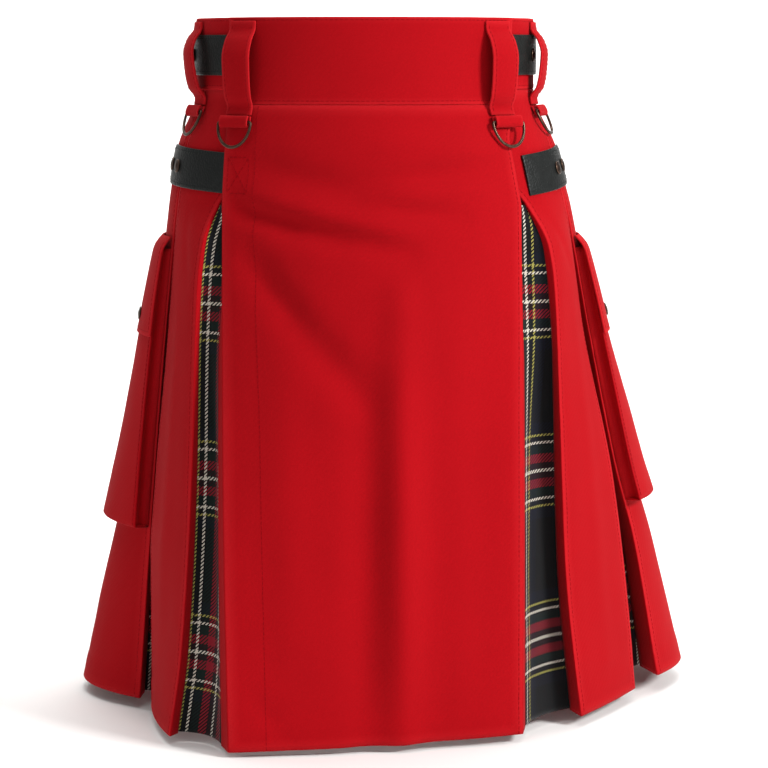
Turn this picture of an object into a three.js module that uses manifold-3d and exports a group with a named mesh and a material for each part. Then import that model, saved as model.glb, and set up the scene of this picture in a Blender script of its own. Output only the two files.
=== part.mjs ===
// Hybrid utility kilt in its worn, hollow form: red cotton with dark tartan between the pleats.
// Millimetres, Z up, the front faces -Y, and the origin is the middle of the waist opening.
// "Left" and "right" are as seen from the front. Angles run from the front centre towards +X.
import * as THREE from 'three';
import { mergeVertices } from 'three/addons/utils/BufferGeometryUtils.js';
import Module from 'manifold-3d';

const wasm = await Module();
wasm.setup();

// Driving sizes
const CLOTH = 1.6;           // cotton panel, with its turned facing
const TARTAN = 1.4;          // woollen inset
const BAND = 2.4;            // waistband, two cloths and a stiffener
const SEAM = 0.3;            // gap left where pieces are sewn together
const BAND_SIDE = 60;        // height of the side and back waistband
const BAND_APRON = 72;       // height of the waistband over the apron
const FELL_Z = -155;         // below this the pleats are free
const LEATHER = 2.3;         // strap thickness
const STRAP_WIDTH = 34;
const APRON_LAYER = 4.9;     // outer face of the apron over the body's own layer
const BAND_LAYER = 5.3;      // outer face of the apron's waistband
const TURNING = 1.9;         // turned edge of a panel where it lies flat
const TURNING_GROWTH = 0.6;  // power by which the turned edge opens towards the hem
const SNAP_STAND = 0.45;     // clearance under the foot of a snap

// Body form by height: half width, depth to the front and back, and sideways shift
const FORM = [
  { z: 0, half: 146, front: 107, back: 105, shift: -1 },
  { z: -62, half: 146.5, front: 110, back: 109, shift: -1 },
  { z: -108, half: 164, front: 116, back: 121, shift: 0.5 },
  { z: -155, half: 174.5, front: 121, back: 131, shift: 2.7 },
];

// Heights of the rows of points, first over the fell and then as a share of the free length
const FELL_ROWS = [-68, -78, -92, -108, -130, -155];
const SKIRT_ROWS = [0.03, 0.08, 0.16, 0.27, 0.4, 0.55, 0.7, 0.85, 1];
const LEAVES_FORM = 0.45;    // share of the free length by which a panel has left the body's form

// Vertical edges of the visible panels. "angles" is where the edge lies over the fell, "drops" is
// where it hangs below it, and "tuck" is the turned-back strip beside the inset at the hem.
const EDGES = {
  apronLeft: {
    layer: APRON_LAYER, tuck: [-7, 21],
    angles: [{ z: 0, a: 311 }, { z: -72, a: 312 }, { z: -106, a: 315 }, { z: -155, a: 316.2 }],
    drops: [{ z: -400, x: -119, y: -136 }, { z: -607, x: -114.5, y: -168 }],
  },
  apronRight: {
    layer: APRON_LAYER, tuck: [3, 21],
    angles: [{ z: 0, a: 56 }, { z: -72, a: 54 }, { z: -106, a: 46.5 }, { z: -155, a: 46 }],
    drops: [{ z: -400, x: 133.5, y: -108 }, { z: -604, x: 134, y: -122 }],
  },
  rightOneFront: {
    layer: 0, tuck: [-8, 21],
    angles: [{ z: 0, a: 40 }, { z: -120, a: 40 }, { z: -155, a: 49.3 }],
    drops: [
      { z: -193, x: 155, y: -87 }, { z: -229, x: 160, y: -86 }, { z: -336, x: 165.5, y: -82 },
      { z: -469, x: 172, y: -78 }, { z: -602, x: 187, y: -74 },
    ],
  },
  rightOneBack: {
    layer: 0, tuck: [-12, 30], angles: [{ z: 0, a: 76 }],
    drops: [
      { z: -268, x: 190, y: -18 }, { z: -401, x: 219, y: -5 }, { z: -534, x: 237, y: 8 },
      { z: -600, x: 243.5, y: 14 },
    ],
  },
  rightTwoFront: {
    layer: 0, tuck: [-12, 34], angles: [{ z: 0, a: 76.2 }],
    drops: [
      { z: -268, x: 195, y: -8 }, { z: -398, x: 223, y: 13 }, { z: -464, x: 241, y: 22 },
      { z: -595, x: 266, y: 40 },
    ],
  },
  rightTwoBack: {
    layer: 0, tuck: [-18, -8], angles: [{ z: 0, a: 129 }], drops: [{ z: -592, x: 245, y: 195 }],
  },
  leftTwoBack: {
    layer: 0, tuck: [18, -8], angles: [{ z: 0, a: 231 }], drops: [{ z: -598, x: -226, y: 146 }],
  },
  leftTwoFront: {
    layer: 0, tuck: [2, 22], angles: [{ z: 0, a: 289.3 }],
    drops: [
      { z: -265, x: -174, y: -30 }, { z: -400, x: -187, y: -20 }, { z: -602, x: -203, y: -14 },
    ],
  },
  leftOneBack: {
    layer: 0, tuck: [13, 15], angles: [{ z: 0, a: 289.5 }],
    drops: [
      { z: -265, x: -171.5, y: -38 }, { z: -400, x: -185, y: -36 }, { z: -467, x: -190, y: -35 },
      { z: -601, x: -190.5, y: -34 },
    ],
  },
  leftOneFront: {
    layer: 0, tuck: [6, 10],
    angles: [{ z: 0, a: 322 }, { z: -120, a: 322 }, { z: -155, a: 313.7 }],
    drops: [
      { z: -188, x: -137, y: -95 }, { z: -225, x: -141.5, y: -98 }, { z: -400, x: -147.5, y: -113 },
      { z: -536, x: -156.5, y: -124 }, { z: -604, x: -166, y: -130 },
    ],
  },
};

// The plain pleats of the back share the run between the two side panels equally
const BACK_PLEATS = 5;
const BACK_GAP_SHARE = 0.3;  // hem gap beside a back pleat, as a share of the pleat's width
const BACK_BOW = 52;         // how far the hem bows out behind the line between the side panels
const BACK_TUCK = 20;
const BACK_SEAM = 0.12;      // degrees kept clear beside each back pleat over the fell

// Outward bow of each panel's face at shares of the free length
const BOWS = {
  apron: [[0, 38], [0.5, 22], [1, 8]],
  rightOne: [[0, 6], [0.4, 4], [1, 2]],
  rightTwo: [[0, 20], [0.25, 21], [0.45, 27], [0.64, 32], [1, 40]],
  leftTwo: [[0, 24], [0.25, 27], [0.45, 30], [0.64, 35.5], [0.8, 42], [1, 48]],
  leftOne: [[0, 6], [0.4, 5], [1, 4]],
  back: [[0, 5], [1, 2]],
};

const APRON_WIDTH = 252;

// Largest soft folds of the apron: a ridge or trough from one place to another across the cloth.
// "u" runs from the left edge to the right one, and "z" is the height.
const APRON_FOLDS = [
  { u0: 0.14, z0: -160, u1: 0.38, z1: -184, width: 13, depth: -2.4 },
  { u0: 0.1, z0: -200, u1: 0.3, z1: -272, width: 17, depth: -2.2 },
  { u0: 0.55, z0: -118, u1: 0.95, z1: -112, width: 12, depth: 2 },
  { u0: 0.5, z0: -158, u1: 0.93, z1: -146, width: 13, depth: -2.2 },
  { u0: 0.58, z0: -250, u1: 0.55, z1: -610, width: 22, depth: 3.4 },
  { u0: 0.72, z0: -320, u1: 0.7, z1: -610, width: 24, depth: -2.6 },
];

const rad = THREE.MathUtils.degToRad;
const lerp = THREE.MathUtils.lerp;
const ease = (t, from, to) => THREE.MathUtils.smoothstep(t, from, to);

// Smooth curve through a table's rows. "at" names the column along it and "key" the value.
function along(rows, at, key, where) {
  const last = rows.length - 1;
  if (last === 0) return rows[0][key];
  const falling = rows[last][at] < rows[0][at];
  const beyond = (value, mark) => (falling ? value <= mark : value >= mark);
  let i = 0;
  while (i < last - 1 && beyond(where, rows[i + 1][at])) i += 1;
  const slope = (k) => (rows[k + 1][key] - rows[k][key]) / (rows[k + 1][at] - rows[k][at]);
  const tangent = (k) => {
    if (k === 0) return slope(0);
    if (k === last) return slope(last - 1);
    const before = slope(k - 1);
    const after = slope(k);
    return before * after <= 0 ? 0 : (2 * before * after) / (before + after);
  };
  const span = rows[i + 1][at] - rows[i][at];
  const t = THREE.MathUtils.clamp((where - rows[i][at]) / span, 0, 1);
  const t2 = t * t;
  const t3 = t2 * t;
  return (2 * t3 - 3 * t2 + 1) * rows[i][key] + (t3 - 2 * t2 + t) * span * tangent(i)
    + (3 * t2 - 2 * t3) * rows[i + 1][key] + (t3 - t2) * span * tangent(i + 1);
}

const pairs = (list, where) => along(list.map(([t, value]) => ({ t, value })), 't', 'value', where);

// A point on the body form, moved out from it level with the ground
function formPoint(angle, z, out = 0) {
  const a = rad(angle);
  const half = along(FORM, 'z', 'half', z);
  const depth = along(FORM, 'z', Math.cos(a) > 0 ? 'front' : 'back', z);
  const normal = new THREE.Vector2(Math.sin(a) * depth, -Math.cos(a) * half).normalize();
  const x = along(FORM, 'z', 'shift', z) + half * Math.sin(a) + normal.x * out;
  return new THREE.Vector3(x, -depth * Math.cos(a) + normal.y * out, z);
}

// Each edge becomes one table of heights and places, from the waist to the hem
function edgeRows(edge) {
  const upper = [0, ...FELL_ROWS].map((z) => {
    const p = formPoint(along(edge.angles, 'z', 'a', z), z, edge.layer);
    return { z, x: p.x, y: p.y };
  });
  return [...upper, ...edge.drops];
}

function makeEdge(edge) {
  const rows = edgeRows(edge);
  const hem = rows[rows.length - 1].z;
  return {
    tuck: new THREE.Vector2(...edge.tuck),
    layer: edge.layer,
    angle: (z) => along(edge.angles, 'z', 'a', z),
    point(z) {
      return new THREE.Vector3(along(rows, 'z', 'x', z), along(rows, 'z', 'y', z), z);
    },
    heightAt: (drop) => lerp(FELL_Z, hem, drop),
  };
}

const edges = Object.fromEntries(Object.entries(EDGES).map(([name, e]) => [name, makeEdge(e)]));

// Edges of the back pleats, spread over the run between the two side panels
function backEdge(index, side) {
  const fellStep = (EDGES.leftTwoBack.angles[0].a - EDGES.rightTwoBack.angles[0].a) / BACK_PLEATS;
  const seam = side ? -BACK_SEAM : BACK_SEAM;
  const angle = EDGES.rightTwoBack.angles[0].a + fellStep * (index + side) + seam;
  const width = 1 / (BACK_PLEATS + BACK_GAP_SHARE * (BACK_PLEATS + 1));
  const share = width * (BACK_GAP_SHARE * (index + 1) + index + side);
  const from = EDGES.rightTwoBack.drops[0];
  const to = EDGES.leftTwoBack.drops[0];
  const run = new THREE.Vector2(to.x - from.x, to.y - from.y).normalize();
  const bow = BACK_BOW * 4 * share * (1 - share);
  const hem = {
    z: lerp(from.z, to.z, share),
    x: lerp(from.x, to.x, share) + run.y * bow,
    y: lerp(from.y, to.y, share) - run.x * bow,
  };
  const inward = new THREE.Vector2(-hem.x, -hem.y).normalize().multiplyScalar(BACK_TUCK);
  const tuck = [inward.x, inward.y];
  return makeEdge({ layer: 0, tuck, angles: [{ z: 0, a: angle }], drops: [hem] });
}

// Panels in order round the body, each from its start edge to its end edge
const makePanel = (name, start, end, bow, across) => ({ name, start, end, bow, across });
const backNames = ['right_3', 'right_4', 'back', 'left_4', 'left_3'];
const PANELS = [
  makePanel('right_1', edges.rightOneFront, edges.rightOneBack, BOWS.rightOne, 4),
  makePanel('right_2', edges.rightTwoFront, edges.rightTwoBack, BOWS.rightTwo, 8),
  ...backNames.map((name, i) => makePanel(name, backEdge(i, 0), backEdge(i, 1), BOWS.back, 3)),
  makePanel('left_2', edges.leftTwoBack, edges.leftTwoFront, BOWS.leftTwo, 8),
  makePanel('left_1', edges.leftOneBack, edges.leftOneFront, BOWS.leftOne, 4),
];
const panelNamed = (name) => PANELS.find((panel) => panel.name === name);
const APRON = makePanel('apron', edges.apronLeft, edges.apronRight, BOWS.apron, 16);

const skirtDrop = (row) => row.drop ?? 0;

// How far an apron fold lifts the cloth at a place
function foldLift(u, z) {
  return APRON_FOLDS.reduce((sum, fold) => {
    const run = new THREE.Vector2((fold.u1 - fold.u0) * APRON_WIDTH, fold.z1 - fold.z0);
    const to = new THREE.Vector2((u - fold.u0) * APRON_WIDTH, z - fold.z0);
    const t = THREE.MathUtils.clamp(to.dot(run) / run.lengthSq(), 0, 1);
    const off = to.clone().addScaledVector(run, -t).length() / fold.width;
    const swell = Math.sin(Math.PI * THREE.MathUtils.clamp(0.15 + 0.7 * t, 0, 1));
    return sum + fold.depth * swell * Math.exp(-off * off);
  }, 0);
}

// A point of a panel's face. "u" runs from its start edge to its end edge.
function facePoint(panel, u, row) {
  const angleAt = (z) => {
    const from = panel.start.angle(z);
    const to = panel.end.angle(z);
    return lerp(from > to ? from - 360 : from, to, u);
  };
  if (row.drop === undefined) return formPoint(angleAt(row.z), row.z, panel.start.layer);
  const a = panel.start.point(panel.start.heightAt(row.drop));
  const b = panel.end.point(panel.end.heightAt(row.drop));
  const chord = new THREE.Vector2(b.x - a.x, b.y - a.y).normalize();
  const topA = panel.start.point(FELL_Z);
  const topB = panel.end.point(FELL_Z);
  const topChord = new THREE.Vector2(topB.x - topA.x, topB.y - topA.y).normalize();
  const onForm = formPoint(angleAt(FELL_Z), FELL_Z, panel.start.layer);
  const top = onForm.sub(topA.clone().lerp(topB, u));
  const fade = 1 - ease(row.drop, 0, LEAVES_FORM);
  const upperBow = top.x * topChord.y - top.y * topChord.x;
  const slide = (top.x * topChord.x + top.y * topChord.y) * fade;
  const lowerBow = pairs(panel.bow, row.drop) * 4 * u * (1 - u);
  const bow = lerp(lowerBow, upperBow, fade);
  const p = a.lerp(b, u);
  p.x += chord.x * slide + chord.y * bow;
  p.y += chord.y * slide - chord.x * bow;
  return p;
}

// Level outward direction at a place on a panel's face
function faceNormal(panel, u, row) {
  const step = 0.02;
  const before = facePoint(panel, Math.max(u - step, 0), row);
  const after = facePoint(panel, Math.min(u + step, 1), row);
  return new THREE.Vector3(after.y - before.y, before.x - after.x, 0).normalize();
}

// The inner end of the strip that is turned back beside an edge
function turnedStrip(panel, atEnd, row) {
  const edge = atEnd ? panel.end : panel.start;
  const drop = skirtDrop(row);
  const corner = facePoint(panel, atEnd ? 1 : 0, row);
  const inward = faceNormal(panel, atEnd ? 1 : 0, row).negate();
  const hemWay = new THREE.Vector3(edge.tuck.x, edge.tuck.y, 0);
  const length = lerp(TURNING, hemWay.length(), drop ** TURNING_GROWTH);
  const way = inward.lerp(hemWay.clone().normalize(), ease(drop, 0, 0.3)).normalize();
  return { corner, way, end: corner.clone().addScaledVector(way, length) };
}

// Rows of a panel, from its top seam down
function panelRows(topZ) {
  return [{ z: topZ }, ...FELL_ROWS.filter((z) => z < topZ - 4).map((z) => ({ z })),
    ...SKIRT_ROWS.map((drop) => ({ drop }))];
}

// Moves a line of points sideways by a thickness, level with the ground, keeping its corners.
// At a sharp corner the point moves no further than the limit allows.
const CORNER_LIMIT = 0.35;
function inset(line, depth) {
  return line.map((p, i) => {
    const before = line[Math.max(i - 1, 0)];
    const after = line[Math.min(i + 1, line.length - 1)];
    const one = new THREE.Vector2(p.y - before.y, before.x - p.x).normalize();
    const two = new THREE.Vector2(after.y - p.y, p.x - after.x).normalize();
    const way = one.clone().add(two).normalize();
    const move = depth / Math.max(way.dot(one.lengthSq() ? one : two), CORNER_LIMIT);
    return new THREE.Vector3(p.x - way.x * move, p.y - way.y * move, p.z);
  });
}

// One closed body from two grids of points with the same rows and columns
function slab(outer, inner) {
  const rows = outer.length;
  const cols = outer[0].length;
  const points = [...outer.flat(), ...inner.flat()];
  const o = (r, c) => r * cols + c;
  const n = (r, c) => rows * cols + r * cols + c;
  const faces = [];
  const quad = (a, b, c, d) => faces.push(a, b, c, a, c, d);
  for (let r = 0; r + 1 < rows; r += 1) {
    for (let c = 0; c + 1 < cols; c += 1) {
      quad(o(r, c), o(r + 1, c), o(r + 1, c + 1), o(r, c + 1));
      quad(n(r, c), n(r, c + 1), n(r + 1, c + 1), n(r + 1, c));
    }
    quad(o(r, 0), n(r, 0), n(r + 1, 0), o(r + 1, 0));
    quad(o(r, cols - 1), o(r + 1, cols - 1), n(r + 1, cols - 1), n(r, cols - 1));
  }
  for (let c = 0; c + 1 < cols; c += 1) {
    quad(o(0, c), o(0, c + 1), n(0, c + 1), n(0, c));
    quad(o(rows - 1, c), n(rows - 1, c), n(rows - 1, c + 1), o(rows - 1, c + 1));
  }
  return facedOut(points, faces);
}

// Turns every face if they point in
function facedOut(points, faces) {
  let volume = 0;
  for (let i = 0; i < faces.length; i += 3) {
    const [a, b, c] = [points[faces[i]], points[faces[i + 1]], points[faces[i + 2]]];
    volume += a.dot(b.clone().cross(c));
  }
  if (volume < 0) faces.reverse();
  const numbers = points.flatMap((p) => [p.x, p.y, p.z]);
  const geometry = new THREE.BufferGeometry();
  geometry.setAttribute('position', new THREE.Float32BufferAttribute(numbers, 3));
  geometry.setIndex(faces);
  return geometry;
}

// A cloth wall from its outer lines
const wall = (lines, thickness) => slab(lines, lines.map((line) => inset(line, thickness)));

// Materials
const materials = {
  cotton: new THREE.MeshStandardMaterial({ color: 0xc4161f, roughness: 0.85 }),
  tartan: new THREE.MeshStandardMaterial({ color: 0x1d2430, roughness: 0.9 }),
  leather: new THREE.MeshStandardMaterial({ color: 0x2a2c2b, roughness: 0.6 }),
  metal: new THREE.MeshStandardMaterial({ color: 0x5a4636, roughness: 0.35, metalness: 1 }),
};

const kilt = new THREE.Group();
function add(name, geometry, material) {
  const mesh = new THREE.Mesh(geometry, materials[material]);
  mesh.name = name;
  kilt.add(mesh);
  return mesh;
}

// A red panel with its two turned edges
function panelWall(panel, topZ, lift = () => 0) {
  const lines = panelRows(topZ).map((row) => {
    const face = [];
    for (let i = 0; i <= panel.across; i += 1) {
      const u = i / panel.across;
      const p = facePoint(panel, u, row);
      face.push(p.addScaledVector(faceNormal(panel, u, row), lift(u, p.z)));
    }
    return [turnedStrip(panel, false, row).end, ...face, turnedStrip(panel, true, row).end];
  });
  return wall(lines, CLOTH);
}

// Folds die out at the apron's side edges, where it is stitched, and towards its top seam
const STITCHED_SHARE = 0.08;
const FOLDS_FROM_Z = -105;
function apronLift(u, z) {
  const sides = ease(u, 0, STITCHED_SHARE) * (1 - ease(u, 1 - STITCHED_SHARE, 1));
  return foldLift(u, z) * sides * ease(-z, BAND_APRON, -FOLDS_FROM_Z);
}

add('apron', panelWall(APRON, -BAND_APRON - SEAM, apronLift), 'cotton');
PANELS.forEach((panel) => {
  add(`pleat_panel_${panel.name}`, panelWall(panel, -BAND_SIDE - SEAM), 'cotton');
});

// The under apron lies behind the apron, clear of its turned edges
const UNDER = {
  angles: [-37.4, 39.4], inFromEdge: 15, behind: [4.9, 9], shorter: 4, across: 12, free: 0.12,
};

function underApronPoint(share, row) {
  const fell = formPoint(lerp(...UNDER.angles, share), row.z ?? FELL_Z);
  if (row.drop === undefined) return fell;
  const edgeShare = UNDER.inFromEdge / APRON_WIDTH;
  const u = lerp(edgeShare, 1 - edgeShare, share);
  const p = facePoint(APRON, u, row);
  const behind = lerp(...UNDER.behind, row.drop);
  p.addScaledVector(faceNormal(APRON, u, row), apronLift(u, p.z) - behind);
  const free = ease(row.drop, 0, UNDER.free);
  const z = p.z + UNDER.shorter * row.drop;
  return new THREE.Vector3(lerp(fell.x, p.x, free), lerp(fell.y, p.y, free), z);
}

function underApronLine(row) {
  const line = [];
  for (let i = 0; i <= UNDER.across; i += 1) line.push(underApronPoint(i / UNDER.across, row));
  return line;
}
add('under_apron', wall(panelRows(-BAND_SIDE - SEAM).map(underApronLine), CLOTH), 'cotton');

// Tartan insets, each behind the turned strips of the two panels beside it
const BESIDE_APRON_TOP = 0.03;
const INSET_TOP = 0.012;
const GAPS = [
  { name: 'right_1', from: APRON, to: PANELS[0], bow: 6, top: BESIDE_APRON_TOP },
  ...['right_2', 'right_3', 'right_4', 'right_5', 'left_5', 'left_4', 'left_3', 'left_2'].map(
    (name, i) => ({ name, from: PANELS[i], to: PANELS[i + 1], bow: 5, top: INSET_TOP })),
  { name: 'left_1', from: PANELS[8], to: APRON, bow: 9, top: BESIDE_APRON_TOP },
];
const INSET_BEHIND = 0.5;    // clearance behind the end of a turned strip
const INSET_SHORTER = 1.5;   // how much shorter the inset is than the red panels

function insetLine(gap, drop) {
  const row = { drop };
  const a = turnedStrip(gap.from, true, row);
  const b = turnedStrip(gap.to, false, row);
  const across = new THREE.Vector3().subVectors(b.end, a.end).setZ(0).normalize();
  const deeper = new THREE.Vector3(-across.y, across.x, 0);
  const sideOfA = new THREE.Vector3(-a.way.y, a.way.x, 0);
  const sideOfB = new THREE.Vector3(b.way.y, -b.way.x, 0);
  const from = a.end.clone().addScaledVector(a.way, INSET_BEHIND);
  const to = b.end.clone().addScaledVector(b.way, INSET_BEHIND);
  const bow = gap.bow * ease(drop, 0, 0.5);
  const line = [from.clone().addScaledVector(sideOfA, CLOTH), from];
  for (const share of [0.25, 0.5, 0.75]) {
    const depth = bow * 4 * share * (1 - share);
    line.push(from.clone().lerp(to, share).addScaledVector(deeper, depth));
  }
  line.push(to, to.clone().addScaledVector(sideOfB, CLOTH));
  line.forEach((p) => { p.z += INSET_SHORTER * drop; });
  return line;
}
GAPS.forEach((gap) => {
  const drops = [gap.top, ...SKIRT_ROWS.filter((drop) => drop > gap.top + 0.01)];
  add(`tartan_inset_${gap.name}`, wall(drops.map((drop) => insetLine(gap, drop)), TARTAN), 'tartan');
});

// Waistbands: one over the apron, one over the under apron, and one round the sides and back
function bandWall(fromAngle, toAngle, height, layer, across) {
  const lines = [0, -height / 3, (-height * 2) / 3, -height].map((z) => {
    const line = [];
    for (let i = 0; i <= across; i += 1) {
      line.push(formPoint(lerp(fromAngle(z), toAngle(z), i / across), z, layer));
    }
    return line;
  });
  return wall(lines, BAND);
}
const SIDE_BAND = { from: 39.8, to: 322.2, across: 32 };
add('waistband_apron', bandWall(
  (z) => edges.apronLeft.angle(z) - 360, edges.apronRight.angle, BAND_APRON, BAND_LAYER, 14), 'cotton');
add('waistband_side_and_back', bandWall(
  () => SIDE_BAND.from, () => SIDE_BAND.to, BAND_SIDE, 0, SIDE_BAND.across), 'cotton');
add('waistband_under_apron', bandWall(
  () => UNDER.angles[0], () => UNDER.angles[1], BAND_SIDE, 0, 10), 'cotton');

// Length of the body's outline for each degree at a place
function perDegree(angle, z) {
  const a = rad(angle);
  const depth = along(FORM, 'z', Math.cos(a) > 0 ? 'front' : 'back', z);
  return rad(Math.hypot(along(FORM, 'z', 'half', z) * Math.cos(a), depth * Math.sin(a)));
}

// Belt loops. "base" is the layer they are sewn to, "top" and "foot" the angles of their two ends,
// and "end" the height of the foot. The front and side ones hold a ring.
const LOOPS = [
  { name: 'front_left', top: -42, foot: -42.2, base: BAND_LAYER, end: -81, ring: true },
  { name: 'front_right', top: 47.6, foot: 47.6, base: BAND_LAYER, end: -81, ring: true },
  { name: 'side_left', top: -77, foot: -71, base: 0, end: -73, ring: true },
  { name: 'side_right', top: 81, foot: 78, base: 0, end: -73, ring: true },
  { name: 'back_left', top: -132, foot: -132, base: 0, end: -73, ring: false },
  { name: 'back', top: 180, foot: 180, base: 0, end: -73, ring: false },
  { name: 'back_right', top: 132, foot: 132, base: 0, end: -73, ring: false },
];
const LOOP_WIDTH = 25;
const LOOP_CLOTH = 1.8;
// How far a loop stands out between its ends, by share of its length
const LOOP_STAND = [
  [0, 0], [0.08, 0.4], [0.2, 6.5], [0.38, 10.5], [0.62, 9.5], [0.8, 7], [0.93, 0.9], [1, 0.6],
];
const FOOT_GAP = 0.9;        // clearance under a loop's foot and its tab, where the body flares
const LOOP_ROWS = [0, 0.07, 0.14, 0.24, 0.38, 0.55, 0.7, 0.82, 0.92, 1];
const LOOP_TOP_Z = -3;

function loopWall(loop) {
  const lines = LOOP_ROWS.map((share) => {
    const z = lerp(LOOP_TOP_Z, loop.end, share);
    const angle = lerp(loop.top, loop.foot, share);
    const half = LOOP_WIDTH / 2 / perDegree(angle, z);
    const out = loop.base + SEAM + LOOP_CLOTH + pairs(LOOP_STAND, share);
    return [-half, 0, half].map((step) => formPoint(angle + step, z, out));
  });
  return wall(lines, LOOP_CLOTH);
}

// Tab folded round the straight bar of a D-ring, below a loop's foot
const TAB = { width: 29, height: 11, thick: 6, bore: 1.8, below: 5.8, round: 2.2, edge: 1.2 };
// D-ring of bent wire: overall width, reach below its bar, and wire radius
const RING = { width: 36, reach: 22.5, wire: 1.2, sides: 6, arc: 10, corner: 1.8 };

// Frame at a tab: its middle, sideways, outward, and the way that the cloth runs down
function tabFrame(loop) {
  const z = loop.end - TAB.below;
  const out = loop.base + FOOT_GAP + TAB.thick / 2;
  const middle = formPoint(loop.foot, z, out);
  const side = formPoint(loop.foot + 1, z, out).sub(formPoint(loop.foot - 1, z, out)).normalize();
  const slope = formPoint(loop.foot, z - RING.reach, out).sub(middle);
  const down = slope.addScaledVector(side, -slope.dot(side)).normalize();
  const outward = new THREE.Vector3().crossVectors(side, down).negate().normalize();
  return { middle, side, down, outward };
}

function tabBody() {
  const shape = new THREE.Shape();
  const [h, t] = [TAB.height / 2, TAB.thick / 2];
  shape.moveTo(-t, h);
  shape.lineTo(-t, TAB.round - h);
  shape.lineTo(TAB.round - t, -h);
  shape.lineTo(t - TAB.round, -h);
  shape.lineTo(t, TAB.round - h);
  shape.lineTo(t, h - TAB.edge);
  shape.lineTo(t - TAB.edge, h);
  const bore = new THREE.Path();
  bore.absarc(0, 0, TAB.bore, 0, Math.PI * 2, true);
  shape.holes.push(bore);
  const options = { depth: TAB.width, bevelEnabled: false, curveSegments: 4 };
  const geometry = new THREE.ExtrudeGeometry(shape, options);
  geometry.translate(0, 0, -TAB.width / 2);
  geometry.deleteAttribute('normal');
  geometry.deleteAttribute('uv');
  return mergeVertices(geometry, 1e-4);
}

// The ring's centre line in its own plane, from one end of the bar round to the other
function ringPath() {
  const half = RING.width / 2 - RING.wire;
  const bow = RING.reach - RING.wire - RING.corner;
  const path = [new THREE.Vector2(half - RING.corner, 0)];
  for (let i = 0; i <= RING.arc; i += 1) {
    const a = (Math.PI * i) / RING.arc;
    path.push(new THREE.Vector2(half * Math.cos(a), -RING.corner - bow * Math.sin(a)));
  }
  path.push(new THREE.Vector2(RING.corner - half, 0));
  return path;
}

function ringBody() {
  const path = ringPath();
  const count = path.length;
  const points = [];
  path.forEach((p, i) => {
    const before = path[(i + count - 1) % count];
    const after = path[(i + 1) % count];
    const one = p.clone().sub(before).normalize();
    const two = after.clone().sub(p).normalize();
    const way = one.clone().add(two).normalize();
    const widen = 1 / way.dot(two);
    for (let k = 0; k < RING.sides; k += 1) {
      const a = (2 * Math.PI * k) / RING.sides;
      const flat = Math.cos(a) * RING.wire * widen;
      points.push(new THREE.Vector3(p.x - way.y * flat, p.y + way.x * flat, Math.sin(a) * RING.wire));
    }
  });
  const faces = [];
  for (let i = 0; i < count; i += 1) {
    for (let k = 0; k < RING.sides; k += 1) {
      const here = i * RING.sides;
      const next = ((i + 1) % count) * RING.sides;
      const k2 = (k + 1) % RING.sides;
      faces.push(here + k, next + k, next + k2, here + k, next + k2, here + k2);
    }
  }
  return facedOut(points, faces);
}

LOOPS.forEach((loop) => {
  add(`belt_loop_${loop.name}`, loopWall(loop), 'cotton');
  if (!loop.ring) return;
  const { middle, side, down, outward } = tabFrame(loop);
  const up = down.clone().negate();
  const tab = add(`ring_tab_${loop.name}`, tabBody(), 'cotton');
  const tabTurn = new THREE.Matrix4().makeBasis(outward, up, side.clone().negate());
  tab.quaternion.setFromRotationMatrix(tabTurn);
  tab.position.copy(middle);
  const ring = add(`d_ring_${loop.name}`, ringBody(), 'metal');
  ring.quaternion.setFromRotationMatrix(new THREE.Matrix4().makeBasis(side, up, outward));
  ring.position.copy(middle);
});

// Leather straps: angle and centre height of each end, which end is rounded, and the snaps' angles
const STRAPS = [
  { name: 'upper_left', from: 262, to: 316, z: [-31, -31.5], round: 'from', snaps: [279] },
  { name: 'upper_right', from: 51, to: 99, z: [-31, -31], round: 'to', snaps: [76] },
  { name: 'lower_left', from: 271, to: 319.5, z: [-123.5, -130], round: 'from', snaps: [279, 287] },
  { name: 'lower_right', from: 51.5, to: 90, z: [-132, -123.5], round: 'to', snaps: [73, 81] },
];
const STRAP_STEPS = 10;
const STRAP_LINES = 4;
const ROUND_END = [0.45, 0.88];   // share of the strap's width at the first steps of its rounded end

function strapMiddle(strap, angle) {
  return lerp(...strap.z, (angle - strap.from) / (strap.to - strap.from));
}

function strapWall(strap) {
  const lines = [];
  for (let r = 0; r <= STRAP_LINES; r += 1) {
    const line = [];
    for (let i = 0; i <= STRAP_STEPS; i += 1) {
      const angle = lerp(strap.from, strap.to, i / STRAP_STEPS);
      const steps = strap.round === 'from' ? i : STRAP_STEPS - i;
      const narrow = ROUND_END[steps] ?? 1;
      const z = strapMiddle(strap, angle) + STRAP_WIDTH * narrow * (0.5 - r / STRAP_LINES);
      line.push(formPoint(angle, z, SEAM + LEATHER));
    }
    lines.push(line);
  }
  return wall(lines, LEATHER);
}

// Press-stud cap, its foot at the origin and its dome along +Y
const SNAP = { radius: 5.8, rim: 0.8, top: 4.6, height: 1.9, sides: 10 };
function snapBody() {
  const { radius, rim, top, height } = SNAP;
  const profile = [[0, 0], [radius, 0], [radius, rim], [top, height], [0, height]];
  const points = profile.map(([x, y]) => new THREE.Vector2(x, y));
  const geometry = new THREE.LatheGeometry(points, SNAP.sides);
  geometry.deleteAttribute('normal');
  geometry.deleteAttribute('uv');
  return mergeVertices(geometry, 1e-4);
}

// A snap stands square to the surface whose points "place" gives, sideways step and height step
function addSnap(name, place) {
  const side = place(1, 0).sub(place(-1, 0));
  const down = place(0, -1).sub(place(0, 1));
  const snap = add(name, snapBody(), 'metal');
  const outward = new THREE.Vector3().crossVectors(down, side).normalize();
  snap.quaternion.setFromUnitVectors(new THREE.Vector3(0, 1, 0), outward);
  snap.position.copy(place(0, 0));
}

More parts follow.
